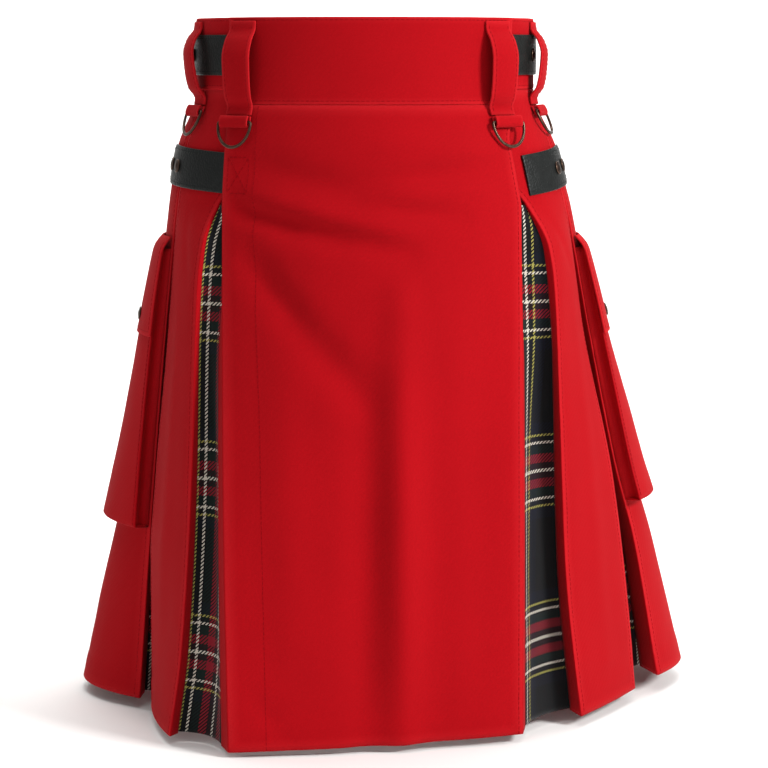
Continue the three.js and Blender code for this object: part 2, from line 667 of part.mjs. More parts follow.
STRAPS.forEach((strap) => {
  add(`strap_${strap.name}`, strapWall(strap), 'leather');
  strap.snaps.forEach((angle, i) => {
    const z = strapMiddle(strap, angle);
    const out = SEAM + LEATHER + SNAP_STAND;
    const place = (side, rise) => formPoint(angle + side, z + 3 * rise, out);
    addSnap(`strap_snap_${strap.name}_${i + 1}`, place);
  });
});

// Bellows pockets on the two side panels. Distances across start at the panel's front edge.
const POCKET = { start: 3, width: 130, mouthZ: -197, fold: 5, base: 0.8, steps: 8, shares: 7 };
const POCKETS = [
  { name: 'left', panel: panelNamed('left_2'), frontIsEnd: true, bottomZ: -442 },
  { name: 'right', panel: panelNamed('right_2'), frontIsEnd: false, bottomZ: -427 },
];
// How far the pocket's face stands off the panel, by height, and the flap over it
const POCKET_DEPTH = [
  { z: -187, d: 6.5 }, { z: -230, d: 10 }, { z: -273, d: 12 }, { z: -350, d: 14 },
  { z: -442, d: 15.5 },
];
const FLAP_ROWS = [
  { z: -186, d: 2.8 }, { z: -191, d: 6.5 }, { z: -197, d: 9.4 }, { z: -215, d: 11.2 },
  { z: -245, d: 13.2 }, { z: -273, d: 14.4 },
];
const FLAP_OVER = 1.5;       // how far the flap passes the pocket at each side
const FLAP_SNAPS = [38, 98]; // places of the two snaps across the flap
const FLAP_SNAP_Z = -256;
const OFF_PANEL_SAMPLES = 16;

const dropAt = (panel, z) => (FELL_Z - z) / (FELL_Z - panel.start.heightAt(1));

// A place on a pocket: so far across from the panel's front edge, and so far off the panel
function offPanel(pocket, across, depth, z) {
  const { panel, frontIsEnd } = pocket;
  const row = { drop: dropAt(panel, z) };
  const u = (k) => (frontIsEnd ? 1 - k / OFF_PANEL_SAMPLES : k / OFF_PANEL_SAMPLES);
  let passed = 0;
  let last = facePoint(panel, u(0), row);
  let place = u(0);
  for (let k = 1; k <= OFF_PANEL_SAMPLES && passed < across; k += 1) {
    const next = facePoint(panel, u(k), row);
    const step = next.distanceTo(last);
    place = lerp(u(k - 1), u(k), Math.min((across - passed) / step, 1));
    passed += step;
    last = next;
  }
  return facePoint(panel, place, row).addScaledVector(faceNormal(panel, place, row), depth);
}

// Triangles that fill an outline, turned the same way as the outline itself
function cap(outline) {
  const { area, triangulateShape } = THREE.ShapeUtils;
  const turn = Math.sign(area(outline));
  return triangulateShape(outline, []).map(([a, b, c]) => {
    const sameTurn = Math.sign(area([outline[a], outline[b], outline[c]])) === turn;
    return sameTurn ? [a, b, c] : [a, c, b];
  });
}

// Closed body lofted through like outlines, each drawn as distance across and depth
function loft(outlines, placeOf) {
  const count = outlines[0].points.length;
  const points = outlines.flatMap((outline) => outline.points.map((p) => placeOf(p, outline.z)));
  const faces = [];
  for (let r = 0; r + 1 < outlines.length; r += 1) {
    for (let i = 0; i < count; i += 1) {
      const j = (i + 1) % count;
      faces.push(r * count + i, (r + 1) * count + i, (r + 1) * count + j);
      faces.push(r * count + i, (r + 1) * count + j, r * count + j);
    }
  }
  const last = (outlines.length - 1) * count;
  cap(outlines[0].points).forEach(([a, b, c]) => faces.push(a, b, c));
  cap(outlines.at(-1).points).forEach(([a, b, c]) => faces.push(last + a, last + c, last + b));
  return facedOut(points, faces);
}

// The pocket's outline at a height: folded front side, face, folded back side, and the open back
function pocketOutline(z, trim, backDepth) {
  const depth = along(POCKET_DEPTH, 'z', 'd', z) - trim;
  const [from, to] = [POCKET.start + trim, POCKET.start + POCKET.width - trim];
  const middle = (depth + POCKET.base) / 2;
  const at = (across, off) => new THREE.Vector2(across, off);
  const points = [at(from, backDepth), at(from + POCKET.fold, middle)];
  for (let i = 0; i <= POCKET.shares; i += 1) {
    points.push(at(lerp(from, to, i / POCKET.shares), depth));
  }
  points.push(at(to - POCKET.fold, middle));
  for (let i = 0; i < POCKET.shares; i += 1) {
    points.push(at(lerp(to, from, i / POCKET.shares), backDepth));
  }
  return { z, points };
}

function toManifold(geometry) {
  const mesh = mergeVertices(geometry, 1e-4);
  return new wasm.Manifold(new wasm.Mesh({
    numProp: 3,
    vertProperties: new Float32Array(mesh.getAttribute('position').array),
    triVerts: new Uint32Array(mesh.getIndex().array),
  }));
}

// The largest body of a cut, because a cut can leave specks
function fromManifold(solid) {
  const bodies = solid.decompose().sort((a, b) => b.volume() - a.volume());
  const mesh = bodies[0].getMesh();
  const geometry = new THREE.BufferGeometry();
  geometry.setAttribute('position', new THREE.Float32BufferAttribute(mesh.vertProperties, 3));
  geometry.setIndex([...mesh.triVerts]);
  return geometry;
}

function pocketLoft(pocket, top, foot, trim, backDepth) {
  const outlines = [];
  for (let i = 0; i < POCKET.steps; i += 1) {
    outlines.push(pocketOutline(lerp(top, foot, i / (POCKET.steps - 1)), trim, backDepth));
  }
  return toManifold(loft(outlines, (p, z) => offPanel(pocket, p.x, p.y, z)));
}

// The hollow is open at the mouth and towards the panel, so its cutter passes both
const CUT_PAST_MOUTH = 6;
const CUT_PAST_BACK = -4;
function pocketBody(pocket) {
  const top = POCKET.mouthZ + CUT_PAST_MOUTH;
  const outer = pocketLoft(pocket, POCKET.mouthZ, pocket.bottomZ, 0, POCKET.base);
  const hollow = pocketLoft(pocket, top, pocket.bottomZ + CLOTH, CLOTH, CUT_PAST_BACK);
  return fromManifold(outer.subtract(hollow));
}

function flapWall(pocket) {
  const from = POCKET.start - FLAP_OVER;
  const to = POCKET.start + POCKET.width + FLAP_OVER;
  const lines = FLAP_ROWS.map(({ z, d }) => {
    const line = [];
    for (let i = 0; i <= POCKET.shares; i += 1) {
      line.push(offPanel(pocket, lerp(from, to, i / POCKET.shares), d, z));
    }
    return pocket.frontIsEnd ? line.reverse() : line;
  });
  return wall(lines, CLOTH);
}

POCKETS.forEach((pocket) => {
  add(`pocket_${pocket.name}`, pocketBody(pocket), 'cotton');
  add(`pocket_flap_${pocket.name}`, flapWall(pocket), 'cotton');
  const way = pocket.frontIsEnd ? -1 : 1;
  FLAP_SNAPS.forEach((across, i) => {
    const place = (side, rise) => {
      const z = FLAP_SNAP_Z + 8 * rise;
      const out = along(FLAP_ROWS, 'z', 'd', z) + SNAP_STAND;
      return offPanel(pocket, across + way * 5 * side, out, z);
    };
    addSnap(`flap_snap_${pocket.name}_${i + 1}`, place);
  });
});

export default kilt;
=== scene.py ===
# Looks of the hybrid utility kilt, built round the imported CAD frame. Sizes are millimetres in the
# tables and metres in the meshes. Z is up, the front faces -Y, and angles run from the front
# centre towards +X. "Left" and "right" are as seen from the front.
import math
from functools import partial

import bmesh
import bpy
from bpy.props import FloatProperty, FloatVectorProperty, PointerProperty
from mathutils import Matrix, Vector, noise


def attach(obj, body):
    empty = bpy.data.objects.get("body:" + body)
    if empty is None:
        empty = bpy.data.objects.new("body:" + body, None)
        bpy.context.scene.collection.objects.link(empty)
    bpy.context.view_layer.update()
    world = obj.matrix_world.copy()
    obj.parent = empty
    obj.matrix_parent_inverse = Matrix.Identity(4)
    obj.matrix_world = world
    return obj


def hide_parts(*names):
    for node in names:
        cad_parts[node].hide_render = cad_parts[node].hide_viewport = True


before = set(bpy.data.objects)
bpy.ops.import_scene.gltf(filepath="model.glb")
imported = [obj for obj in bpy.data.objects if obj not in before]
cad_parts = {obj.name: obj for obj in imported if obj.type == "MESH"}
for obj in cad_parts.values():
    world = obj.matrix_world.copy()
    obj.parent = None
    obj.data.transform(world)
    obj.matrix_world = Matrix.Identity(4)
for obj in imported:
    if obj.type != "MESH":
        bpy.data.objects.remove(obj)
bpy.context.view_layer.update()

bl_info = {
    "name": "Utility kilt",
    "version": (1, 0, 0),
    "blender": (4, 5, 0),
    "location": "3D View > Sidebar > Kilt",
    "description": "Cloth, leather and metal pieces of a wrap kilt with tartan insets",
    "category": "Add Mesh",
}

MM = 0.001

# Driving sizes, the same as the solids'
FELL_Z = -155
FELL_ROWS = (-68, -78, -92, -108, -130, -155)
BAND_SIDE = 60
BAND_APRON = 72
SEAM = 0.3
APRON_LAYER = 4.9
BAND_LAYER = 5.3
TURNING = 1.9
TURNING_GROWTH = 0.6
LEAVES_FORM = 0.45
APRON_WIDTH = 252
STRAP_WIDTH = 34
LOOP_WIDTH = 25
CELL = 5.0             # distance between the points of a cloth's mesh
FREE_LENGTH = 450      # about how far the cloth hangs below the fell
CLOTH_SHOWN = 1.3
BAND = 2.4
LOOP_CLOTH = 1.8
FLAP_CLOTH = 1.6
LEATHER = 2.3
STRAP_LEATHER = 1.9

# Body form by height
FORM = {
    "z": (0, -62, -108, -155),
    "half": (146, 146.5, 164, 174.5),
    "front": (107, 110, 116, 121),
    "back": (105, 109, 121, 131),
    "shift": (-1, -1, 0.5, 2.7),
}


def lerp(a, b, t):
    return a + (b - a) * t


def lengths(points):
    """Distance of each point along its line."""
    total, out = 0.0, [0.0]
    for a, b in zip(points, points[1:]):
        total += (b - a).length
        out.append(total)
    return out


def ease(t, low, high):
    """Smooth step from 0 at low to 1 at high."""
    t = min(max((t - low) / (high - low), 0), 1)
    return t * t * (3 - 2 * t)


def curve(xs, ys, x):
    """Smooth monotone curve through a table's columns, the one that the solids use."""
    last = len(xs) - 1
    if last == 0:
        return ys[0]
    sign = -1 if xs[last] < xs[0] else 1
    i = 0
    while i < last - 1 and sign * (x - xs[i + 1]) >= 0:
        i += 1

    def slope(k):
        return (ys[k + 1] - ys[k]) / (xs[k + 1] - xs[k])

    def tangent(k):
        if k in (0, last):
            return slope(min(k, last - 1))
        before, after = slope(k - 1), slope(k)
        return 0 if before * after <= 0 else 2 * before * after / (before + after)

    span = xs[i + 1] - xs[i]
    t = min(max((x - xs[i]) / span, 0), 1)
    rise = (3 - 2 * t) * t * t
    bend = tangent(i) * t * (1 - t) ** 2 - tangent(i + 1) * t * t * (1 - t)
    return ys[i] + (ys[i + 1] - ys[i]) * rise + bend * span


def form_point(angle, z, out=0.0):
    """A place on the body form, or so far out from it."""
    a = math.radians(angle)
    half = curve(FORM["z"], FORM["half"], z)
    depth = curve(FORM["z"], FORM["front" if math.cos(a) > 0 else "back"], z)
    normal = Vector((math.sin(a) * depth, -math.cos(a) * half)).normalized()
    x = curve(FORM["z"], FORM["shift"], z) + half * math.sin(a) + normal.x * out
    return Vector((x, -depth * math.cos(a) + normal.y * out, z))


class Edge:
    """A panel's vertical edge: (z, angle) over the fell, then (z, x, y) where it hangs free."""

    def __init__(self, tuck, angles, drops, layer=0.0):
        self.tuck = Vector((*tuck, 0))
        self.angles = tuple(zip(*angles))
        self.layer = layer
        upper = [form_point(self.angle(z), z, layer) for z in (0, *FELL_ROWS)]
        rows = [(p.z, p.x, p.y) for p in upper] + list(drops)
        self.z, self.x, self.y = zip(*rows)

    def angle(self, z):
        return curve(*self.angles, z)

    def at(self, z):
        return Vector((curve(self.z, self.x, z), curve(self.z, self.y, z), z))

    def height(self, drop):
        return lerp(FELL_Z, self.z[-1], drop)


EDGES = {
    "apron_left": Edge((-7, 21), ((0, 311), (-72, 312), (-106, 315), (-155, 316.2)),
                       ((-400, -119, -136), (-607, -114.5, -168)), APRON_LAYER),
    "apron_right": Edge((3, 21), ((0, 56), (-72, 54), (-106, 46.5), (-155, 46)),
                        ((-400, 133.5, -108), (-604, 134, -122)), APRON_LAYER),
    "right_1_front": Edge((-8, 21), ((0, 40), (-120, 40), (-155, 49.3)),
                          ((-193, 155, -87), (-229, 160, -86), (-336, 165.5, -82),
                           (-469, 172, -78), (-602, 187, -74))),
    "right_1_back": Edge((-12, 30), ((0, 76),),
                         ((-268, 190, -18), (-401, 219, -5), (-534, 237, 8), (-600, 243.5, 14))),
    "right_2_front": Edge((-12, 34), ((0, 76.2),),
                          ((-268, 195, -8), (-398, 223, 13), (-464, 241, 22), (-595, 266, 40))),
    "right_2_back": Edge((-18, -8), ((0, 129),), ((-592, 245, 195),)),
    "left_2_back": Edge((18, -8), ((0, 231),), ((-598, -226, 146),)),
    "left_2_front": Edge((2, 22), ((0, 289.3),),
                         ((-265, -174, -30), (-400, -187, -20), (-602, -203, -14))),
    "left_1_back": Edge((13, 15), ((0, 289.5),),
                        ((-265, -171.5, -38), (-400, -185, -36), (-467, -190, -35),
                         (-601, -190.5, -34))),
    "left_1_front": Edge((6, 10), ((0, 322), (-120, 322), (-155, 313.7)),
                         ((-188, -137, -95), (-225, -141.5, -98), (-400, -147.5, -113),
                          (-536, -156.5, -124), (-604, -166, -130))),
}

# Outward bow of each panel's face: share of the free length, and distance
BOWS = {
    "apron": ((0, 38), (0.5, 22), (1, 8)),
    "right_1": ((0, 6), (0.4, 4), (1, 2)),
    "right_2": ((0, 20), (0.25, 21), (0.45, 27), (0.64, 32), (1, 40)),
    "left_2": ((0, 24), (0.25, 27), (0.45, 30), (0.64, 35.5), (0.8, 42), (1, 48)),
    "left_1": ((0, 6), (0.4, 5), (1, 4)),
    "back": ((0, 5), (1, 2)),
}
BACK_NAMES = ("right_3", "right_4", "back", "left_4", "left_3")
BACK_GAP_SHARE = 0.3
BACK_BOW = 52
BACK_TUCK = 20
BACK_SEAM = 0.12


def back_edge(index, side):
    """Edge of a back pleat. The pleats share the run between the two side panels."""
    start, end = EDGES["right_2_back"], EDGES["left_2_back"]
    count = len(BACK_NAMES)
    step = (end.angle(0) - start.angle(0)) / count
    angle = start.angle(0) + step * (index + side) + (-BACK_SEAM if side else BACK_SEAM)
    width = 1 / (count + BACK_GAP_SHARE * (count + 1))
    share = width * (BACK_GAP_SHARE * (index + 1) + index + side)
    a, b = start.at(start.z[-1]), end.at(end.z[-1])
    run = (b - a).to_2d().normalized()
    bow = BACK_BOW * 4 * share * (1 - share)
    hem = a.lerp(b, share) + Vector((run.y, -run.x, 0)) * bow
    tuck = Vector((-hem.x, -hem.y)).normalized() * BACK_TUCK
    return Edge(tuck, ((0, angle),), ((hem.z, hem.x, hem.y),))


class Panel:
    """A red panel between two edges. A row is a height over the fell, or a share of the drop."""

    def __init__(self, start, end, bow):
        self.start, self.end = start, end
        self.bow = tuple(zip(*bow))
        self.top = [e.at(FELL_Z) for e in (start, end)]
        self.levels = {}
        self.widths = {}

    def angle(self, u, z):
        low, high = self.start.angle(z), self.end.angle(z)
        return lerp(low - 360 if low > high else low, high, u)

    def level(self, row):
        if row not in self.levels:
            ends = [e.at(e.height(row)) for e in (self.start, self.end)]
            chords = [(b - a).to_2d().normalized() for a, b in (ends, self.top)]
            fade = 1 - ease(row, 0, LEAVES_FORM)
            self.levels[row] = (*ends, *chords, fade, curve(*self.bow, row))
        return self.levels[row]

    def face(self, u, row):
        if row < 0:
            return form_point(self.angle(u, row), row, self.start.layer)
        a, b, chord, top_chord, fade, bow = self.level(row)
        top = form_point(self.angle(u, FELL_Z), FELL_Z, self.start.layer)
        top -= self.top[0].lerp(self.top[1], u)
        slide = (top.x * top_chord.x + top.y * top_chord.y) * fade
        out = lerp(bow * 4 * u * (1 - u), top.x * top_chord.y - top.y * top_chord.x, fade)
        return a.lerp(b, u) + Vector((chord.x * slide + chord.y * out,
                                      chord.y * slide - chord.x * out, 0))

    def normal(self, u, row, step=0.02):
        run = self.face(min(u + step, 1), row) - self.face(max(u - step, 0), row)
        return Vector((run.y, -run.x, 0)).normalized()

    def strip(self, at_end, row):
        """Corner, direction and length of the strip that is turned back beside an edge."""
        edge, u = (self.end, 1) if at_end else (self.start, 0)
        drop = max(row, 0)
        length = lerp(TURNING, edge.tuck.length, drop ** TURNING_GROWTH)
        way = (-self.normal(u, row)).lerp(edge.tuck.normalized(), ease(drop, 0, 0.3))
        return self.face(u, row), way.normalized(), length

    def width(self, row):
        if row not in self.widths:
            points = [self.face(i / 8, row) for i in range(9)]
            self.widths[row] = lengths(points)[-1]
        return self.widths[row]

    def fall(self, row):
        """Distance down the cloth from the waist."""
        return -row if row < 0 else -lerp(self.start.height(row), self.end.height(row), 0.5)


PANELS = {
    "right_1": Panel(EDGES["right_1_front"], EDGES["right_1_back"], BOWS["right_1"]),
    "right_2": Panel(EDGES["right_2_front"], EDGES["right_2_back"], BOWS["right_2"]),
    **{name: Panel(back_edge(i, 0), back_edge(i, 1), BOWS["back"])
       for i, name in enumerate(BACK_NAMES)},
    "left_2": Panel(EDGES["left_2_back"], EDGES["left_2_front"], BOWS["left_2"]),
    "left_1": Panel(EDGES["left_1_back"], EDGES["left_1_front"], BOWS["left_1"]),
}
APRON = Panel(EDGES["apron_left"], EDGES["apron_right"], BOWS["apron"])

# Folds of each panel: from (share across, height) to (share across, height), width and depth.
# The first six of the apron are in the solids too.
FOLDS = {
    "apron": (
        (0.14, -160, 0.38, -184, 13, -2.4), (0.1, -200, 0.3, -272, 17, -2.2),
        (0.55, -118, 0.95, -112, 12, 2), (0.5, -158, 0.93, -146, 13, -2.2),
        (0.58, -250, 0.55, -610, 22, 3.4), (0.72, -320, 0.7, -610, 24, -2.6),
        (0.02, -155, 0.24, -174, 9, -4.2), (0.24, -174, 0.6, -192, 10, -5.2),
        (0.1, -147, 0.6, -177, 8, 3.6), (0.11, -200, 0.26, -252, 13, -3.8),
        (0.26, -252, 0.46, -318, 16, -5.0), (0.475, -300, 0.465, -612, 17, -6.0),
        (0.58, -230, 0.585, -612, 14, 6.0), (0.12, -124, 0.5, -145, 13, -4.0),
        (0.56, -159, 0.79, -164, 6, -3.0), (0.5, -146, 0.86, -143, 8, 2.6),
        (0.5, -135, 0.94, -121, 9, -3.0), (0.55, -106, 0.95, -104, 9, 2.2),
        (0.2, -300, 0.22, -520, 18, 2.6), (0.86, -230, 0.85, -560, 17, -2.4),
        (0.08, -560, 0.2, -600, 9, -1.4), (0.7, -560, 0.95, -520, 10, -1.2),
    ),
    "right_1": ((0.1, -150, 0.8, -140, 9, 1.0), (0.55, -240, 0.5, -560, 12, 1.1),
                (0.2, -165, 0.6, -215, 8, -1.0)),
    "right_2": ((0.1, -120, 0.6, -128, 12, 1.2), (0.8, -220, 0.78, -560, 22, 2.0)),
    "left_1": ((0.2, -148, 0.9, -142, 9, 1.0), (0.5, -250, 0.45, -560, 12, 1.1),
               (0.45, -168, 0.75, -220, 8, -1.0)),
    "left_2": ((0.4, -120, 0.9, -126, 12, 1.2), (0.2, -220, 0.22, -560, 22, 2.0)),
}
FOLD_SWELL = (0.15, 0.85)    # the part of a half wave that a fold's depth follows along its run
STITCHED_SHARE = 0.08
FOLDS_FROM_Z = -105


def fold_lift(folds, u, z, width=APRON_WIDTH):
    """How far a panel's folds lift its cloth: each swells along its run and fades beside it."""
    total = 0.0
    for u0, z0, u1, z1, breadth, depth in folds:
        run = Vector(((u1 - u0) * width, z1 - z0))
        to = Vector(((u - u0) * width, z - z0))
        t = min(max(to.dot(run) / run.length_squared, 0), 1)
        off = (to - run * t).length / breadth
        swell = math.sin(math.pi * lerp(*FOLD_SWELL, t))
        total += depth * swell * math.exp(-off * off)
    return total


def held(u, z, top):
    """Folds die out where the cloth is stitched down: at its side edges and its top seam."""
    sides = ease(u, 0, STITCHED_SHARE) * (1 - ease(u, 1 - STITCHED_SHARE, 1))
    return sides * ease(-z, top, -FOLDS_FROM_Z)


RIPPLE = {"height": 0.55, "long": 7}
CREASES = ((0.9, 55, 90), (0.28, 19, 30))    # height, and size across and down the cloth


def pucker(across, fall, seam, seed):
    """Small ripples along a stitched seam, so many millimetres away."""
    ripple = noise.noise(Vector((across / RIPPLE["long"] + seed, fall / RIPPLE["long"], seed)))
    return RIPPLE["height"] * ripple * math.exp(-(seam / RIPPLE["long"]) ** 2)


def creasing(across, fall, seed):
    """Slight unevenness of cotton that has been folded and worn."""
    return sum(height * noise.noise(Vector((across / wide, fall / tall, seed + 7 * i)))
               for i, (height, wide, tall) in enumerate(CREASES))


# Mesh helpers
def steps(start, end, size=CELL):
    """Evenly spaced values from start to end, about so far apart."""
    count = max(int(abs(end - start) / size), 1)
    return [lerp(start, end, i / count) for i in range(count + 1)]


def panel_rows(top):
    """Rows of a panel: heights down to the fell, then shares of the free drop."""
    free = steps(0, 1, CELL / FREE_LENGTH)[1:]
    return steps(-top - SEAM, FELL_Z) + free


def level_normals(line):
    """Level directions out of a line of points that runs round the kilt."""
    ends = [line[0], *line, line[-1]]
    runs = [b - a for a, b in zip(ends, ends[2:])]
    return [Vector((r.y, -r.x, 0)).normalized() for r in runs]


def sheet_mesh(name, lines, falls, zero=0, start=0):
    """A sheet through rows of points, with its own millimetres as UVs."""
    rows, cols = len(lines), len(lines[0])
    bm = bmesh.new()
    bmesh.ops.create_grid(bm, x_segments=cols - 1, y_segments=rows - 1, size=0.5)
    bm.verts.index_update()
    across = [lengths(line) for line in lines]
    layer = bm.loops.layers.uv.new("cloth")
    wear = bm.verts.layers.float.new("wear")
    for v in bm.verts:
        r, c = rows - 1 - v.index // cols, v.index % cols
        v.co = lines[r][c] * MM
        margin = min(r, rows - 1 - r, c - zero, cols - 1 - zero - c)
        v[wear] = 1.0 if margin == 0 else 0.35 if margin == 1 else 0.0
    for loop in [loop for f in bm.faces for loop in f.loops]:
        r, c = rows - 1 - loop.vert.index // cols, loop.vert.index % cols
        loop[layer].uv = (start + across[r][c] - across[r][zero], falls[r])
    return mesh_object(name, bm)


def mesh_object(name, bm):
    """A smoothly shaded object from a bmesh, which is freed."""
    for f in bm.faces:
        f.smooth = True
    mesh = bpy.data.meshes.new(name)
    bm.to_mesh(mesh)
    bm.free()
    obj = bpy.data.objects.new(name, mesh)
    bpy.context.scene.collection.objects.link(obj)
    return obj


def placed(bm, middle, x_way, y_way, z_way):
    """Moves a whole bmesh from its own axes, in millimetres, to its place in metres."""
    turn = Matrix((x_way, y_way, z_way)).transposed().to_4x4()
    move = Matrix.Translation(middle * MM) @ turn @ Matrix.Scale(MM, 4)
    bmesh.ops.transform(bm, matrix=move, verts=bm.verts)


def thicken(obj, thickness, bevel=0.0):
    """Gives a sheet its wall, and rounded edges where bevel says so."""
    wall = obj.modifiers.new("cloth thickness", "SOLIDIFY")
    wall.thickness = thickness * MM
    wall.offset = -1
    if bevel:
        edge = obj.modifiers.new("rounded edge", "BEVEL")
        edge.width = bevel * MM
        edge.segments = 2
        edge.profile = 0.5
        edge.material = -1
        edge.angle_limit = math.radians(50)


def fit(obj, material, slot, nodes=(), body="garment"):
    """Gives a finished piece its material and its body, and hides the CAD nodes that it stands for.
    """
    obj.data.materials.append(material)
    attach(obj, body)
    if nodes:
        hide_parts(*nodes)


def cut(lines, falls):
    """The flat pattern piece of a sheet: (width, length) and area in metres."""
    widths = [lengths(line)[-1] for line in lines]
    longest = max(lengths([line[c] for line in lines])[-1] for c in (0, len(lines[0]) // 2, -1))
    area = sum((a + b) / 2 * (g - f)
               for a, b, f, g in zip(widths, widths[1:], falls, falls[1:]))
    size = (round(max(widths) * MM, 3), round(longest * MM, 3))
    return size, min(round(area * MM * MM, 5), size[0] * size[1])


def add_cloth(name, lines, falls, thickness, look, nodes, zero=0, bevel=0.0,
              start=0):
    """A cloth piece from rows of points. The size that it was cut to is worked out and not used."""
    obj = sheet_mesh(name, lines, falls, zero, start)
    thicken(obj, thickness, bevel)
    fit(obj, *look, nodes)
    flat, area = cut(lines, falls)


# Materials
def linear(hex_colour):
    """A colour's linear values from its sRGB hex."""
    parts = [int(hex_colour[i:i + 2], 16) / 255 for i in (1, 3, 5)]
    return (*[c / 12.92 if c <= 0.04045 else ((c + 0.055) / 1.055) ** 2.4 for c in parts], 1)


def toned(colour, factor, paler=0.0):
    """A darker, lighter or washed-out tone of a linear colour."""
    return (*[min(c * factor + paler, 1) for c in colour[:3]], 1)


def add_node(tree, kind, inputs=None, **settings):
    """Adds a node with its settings. Each input is linked to a socket or given a value."""
    made = tree.nodes.new(kind)
    for key, value in settings.items():
        setattr(made, key, value)
    for key, given in (inputs or {}).items():
        if isinstance(given, bpy.types.NodeSocket):
            tree.links.new(given, made.inputs[key])
        else:
            made.inputs[key].default_value = given
    return made


def maths(tree, operation, a, b):
    return add_node(tree, "ShaderNodeMath", {0: a, 1: b}, operation=operation).outputs[0]


def mix(tree, share, low, high):
    return add_node(tree, "ShaderNodeMix", {0: share, 6: low, 7: high}, data_type="RGBA").outputs[2]


def clouds(tree, place, size, detail):
    """Noise whose clouds are about so large."""
    inputs = {"Vector": place, "Scale": 1 / size, "Detail": detail}
    return add_node(tree, "ShaderNodeTexNoise", inputs).outputs[0]


def between(tree, value, low, high):
    return add_node(tree, "ShaderNodeMapRange", {0: value, 3: low, 4: high}).outputs[0]


def relief(tree, height, strength, depth, **settings):
    inputs = {"Height": height, "Strength": strength, "Distance": depth}
    return add_node(tree, "ShaderNodeBump", inputs, **settings).outputs[0]


def plug(tree, shader, sockets):
    for key, socket in sockets.items():
        tree.links.new(socket, shader.inputs[key])


def length(words, title, default, high):
    """A length that a user can change, given in millimetres and kept in metres."""
    return FloatProperty(name=title, description=words, default=default * MM, min=0.0001,
                         max=high * MM, precision=4, unit="LENGTH")


def colour(words, title, default):
    """A colour that a user can change, given as sRGB hex and kept as linear values."""
    return FloatVectorProperty(name=title, description=words, default=linear(default), size=4,
                               min=0, max=1, subtype="COLOR")


class KiltSizes(bpy.types.PropertyGroup):
    """Sizes of the cloth and the stitching, read when a piece is made."""
    cloth: length("Thickness of the red cotton", "Cloth", CLOTH_SHOWN, 3)
    band: length("Thickness of the folded waistbands", "Waistband", BAND, 4)
    loop: length("Thickness of the folded belt loops", "Belt loop", LOOP_CLOTH, 3)
    flap: length("Thickness of the lined pocket flaps", "Pocket flap", FLAP_CLOTH, 3)
    leather: length("Thickness of the leather straps", "Strap", STRAP_LEATHER, 4)
    stitch: length("Length of one stitch", "Stitch", 3.1, 8)
    gap: length("Gap between two stitches", "Stitch gap", 1.1, 4)
    thread: length("Thickness of the sewing thread", "Thread", 0.68, 1.5)


class KiltColours(bpy.types.PropertyGroup):
    """Colours of the finishes, read when the first piece is made."""
    cotton: colour("Dye of the cotton twill", "Cotton", "#A80611")
    leather: colour("Dye of the strap leather", "Leather", "#0E100F")
    metal: colour("Tone of the bronzed metal", "Metal", "#3E3028")
    cotton_thread: colour("Thread of the cloth's seams", "Cotton thread", "#86060F")
    leather_thread: colour("Thread of the straps' seams", "Leather thread", "#2C2E2D")


def size(name):
    """A size from the panel, in millimetres."""
    return getattr(bpy.context.scene.kilt_sizes, name) / MM


def new_material(name, colour, **settings):
    """A material of one shader, with the values of the shader's sockets."""
    made = bpy.data.materials.new(name)
    made.use_nodes = True
    made.diffuse_color = colour
    shader = made.node_tree.nodes["Principled BSDF"]
    for key, value in {"Base_Color": colour, **settings}.items():
        shader.inputs[key.replace("_", " ")].default_value = value
    return made.node_tree, shader


def cloth_place(tree):
    """Millimetres across and down a sheet, from its own UV."""
    return add_node(tree, "ShaderNodeUVMap", uv_map="cloth").outputs[0]


def object_place(tree):
    return add_node(tree, "ShaderNodeTexCoord").outputs["Object"]


TWILL_PITCH = 2.833    # drawn coarser than the real 0.8 mm line, which the render can't show
WAVE_PERIOD = 0.314    # a wave texture's band at scale 1


def cotton_material(body):
    """Cotton twill, piece dyed and washed: a matt diagonal line with paler, rubbed folds."""
    tree, shader = new_material("red_cotton_twill", body, Roughness=0.86, Sheen_Weight=0.02,
                                Sheen_Roughness=0.5, Specular_IOR_Level=0.06)
    place = cloth_place(tree)
    twill = add_node(tree, "ShaderNodeTexWave",
                     {"Vector": place, "Scale": WAVE_PERIOD / TWILL_PITCH, "Distortion": 0.8,
                      "Detail": 1.0, "Detail Scale": 2.0}, bands_direction="DIAGONAL")
    patchy = clouds(tree, place, 70, 2)
    slub = clouds(tree, place, 1.6, 3)
    rubbed = add_node(tree, "ShaderNodeAttribute", attribute_name="wear").outputs["Fac"]
    shade = mix(tree, patchy, toned(body, 0.9), toned(body, 1.11))
    thread = mix(tree, slub, shade, toned(body, 0.76))
    worn = mix(tree, maths(tree, "MULTIPLY", rubbed, slub), thread, toned(body, 1.29, 0.01))
    height = maths(tree, "ADD", twill.outputs["Fac"], slub)
    plug(tree, shader, {"Base Color": worn, "Normal": relief(tree, height, 0.16, 0.0003)})


# Half of the tartan's repeat, from its white centre line outwards: where each stripe starts
SETT = (
    (0, "#C6C1B4"), (1.4, "#24080E"), (6.9, "#7E1020"), (14.5, "#0A1A17"), (22, "#07090D"),
    (23.2, "#C6C1B4"), (25.6, "#07090D"), (29.9, "#97914A"), (32.0, "#080C19"), (42, "#050709"),
)
SETT_HALF = 74
SETT_DOWN = 239        # height below the waist of a white centre line
TWILL_REPEAT = 3.3     # drawn coarser than the real 2.3 mm, so that its dashes show


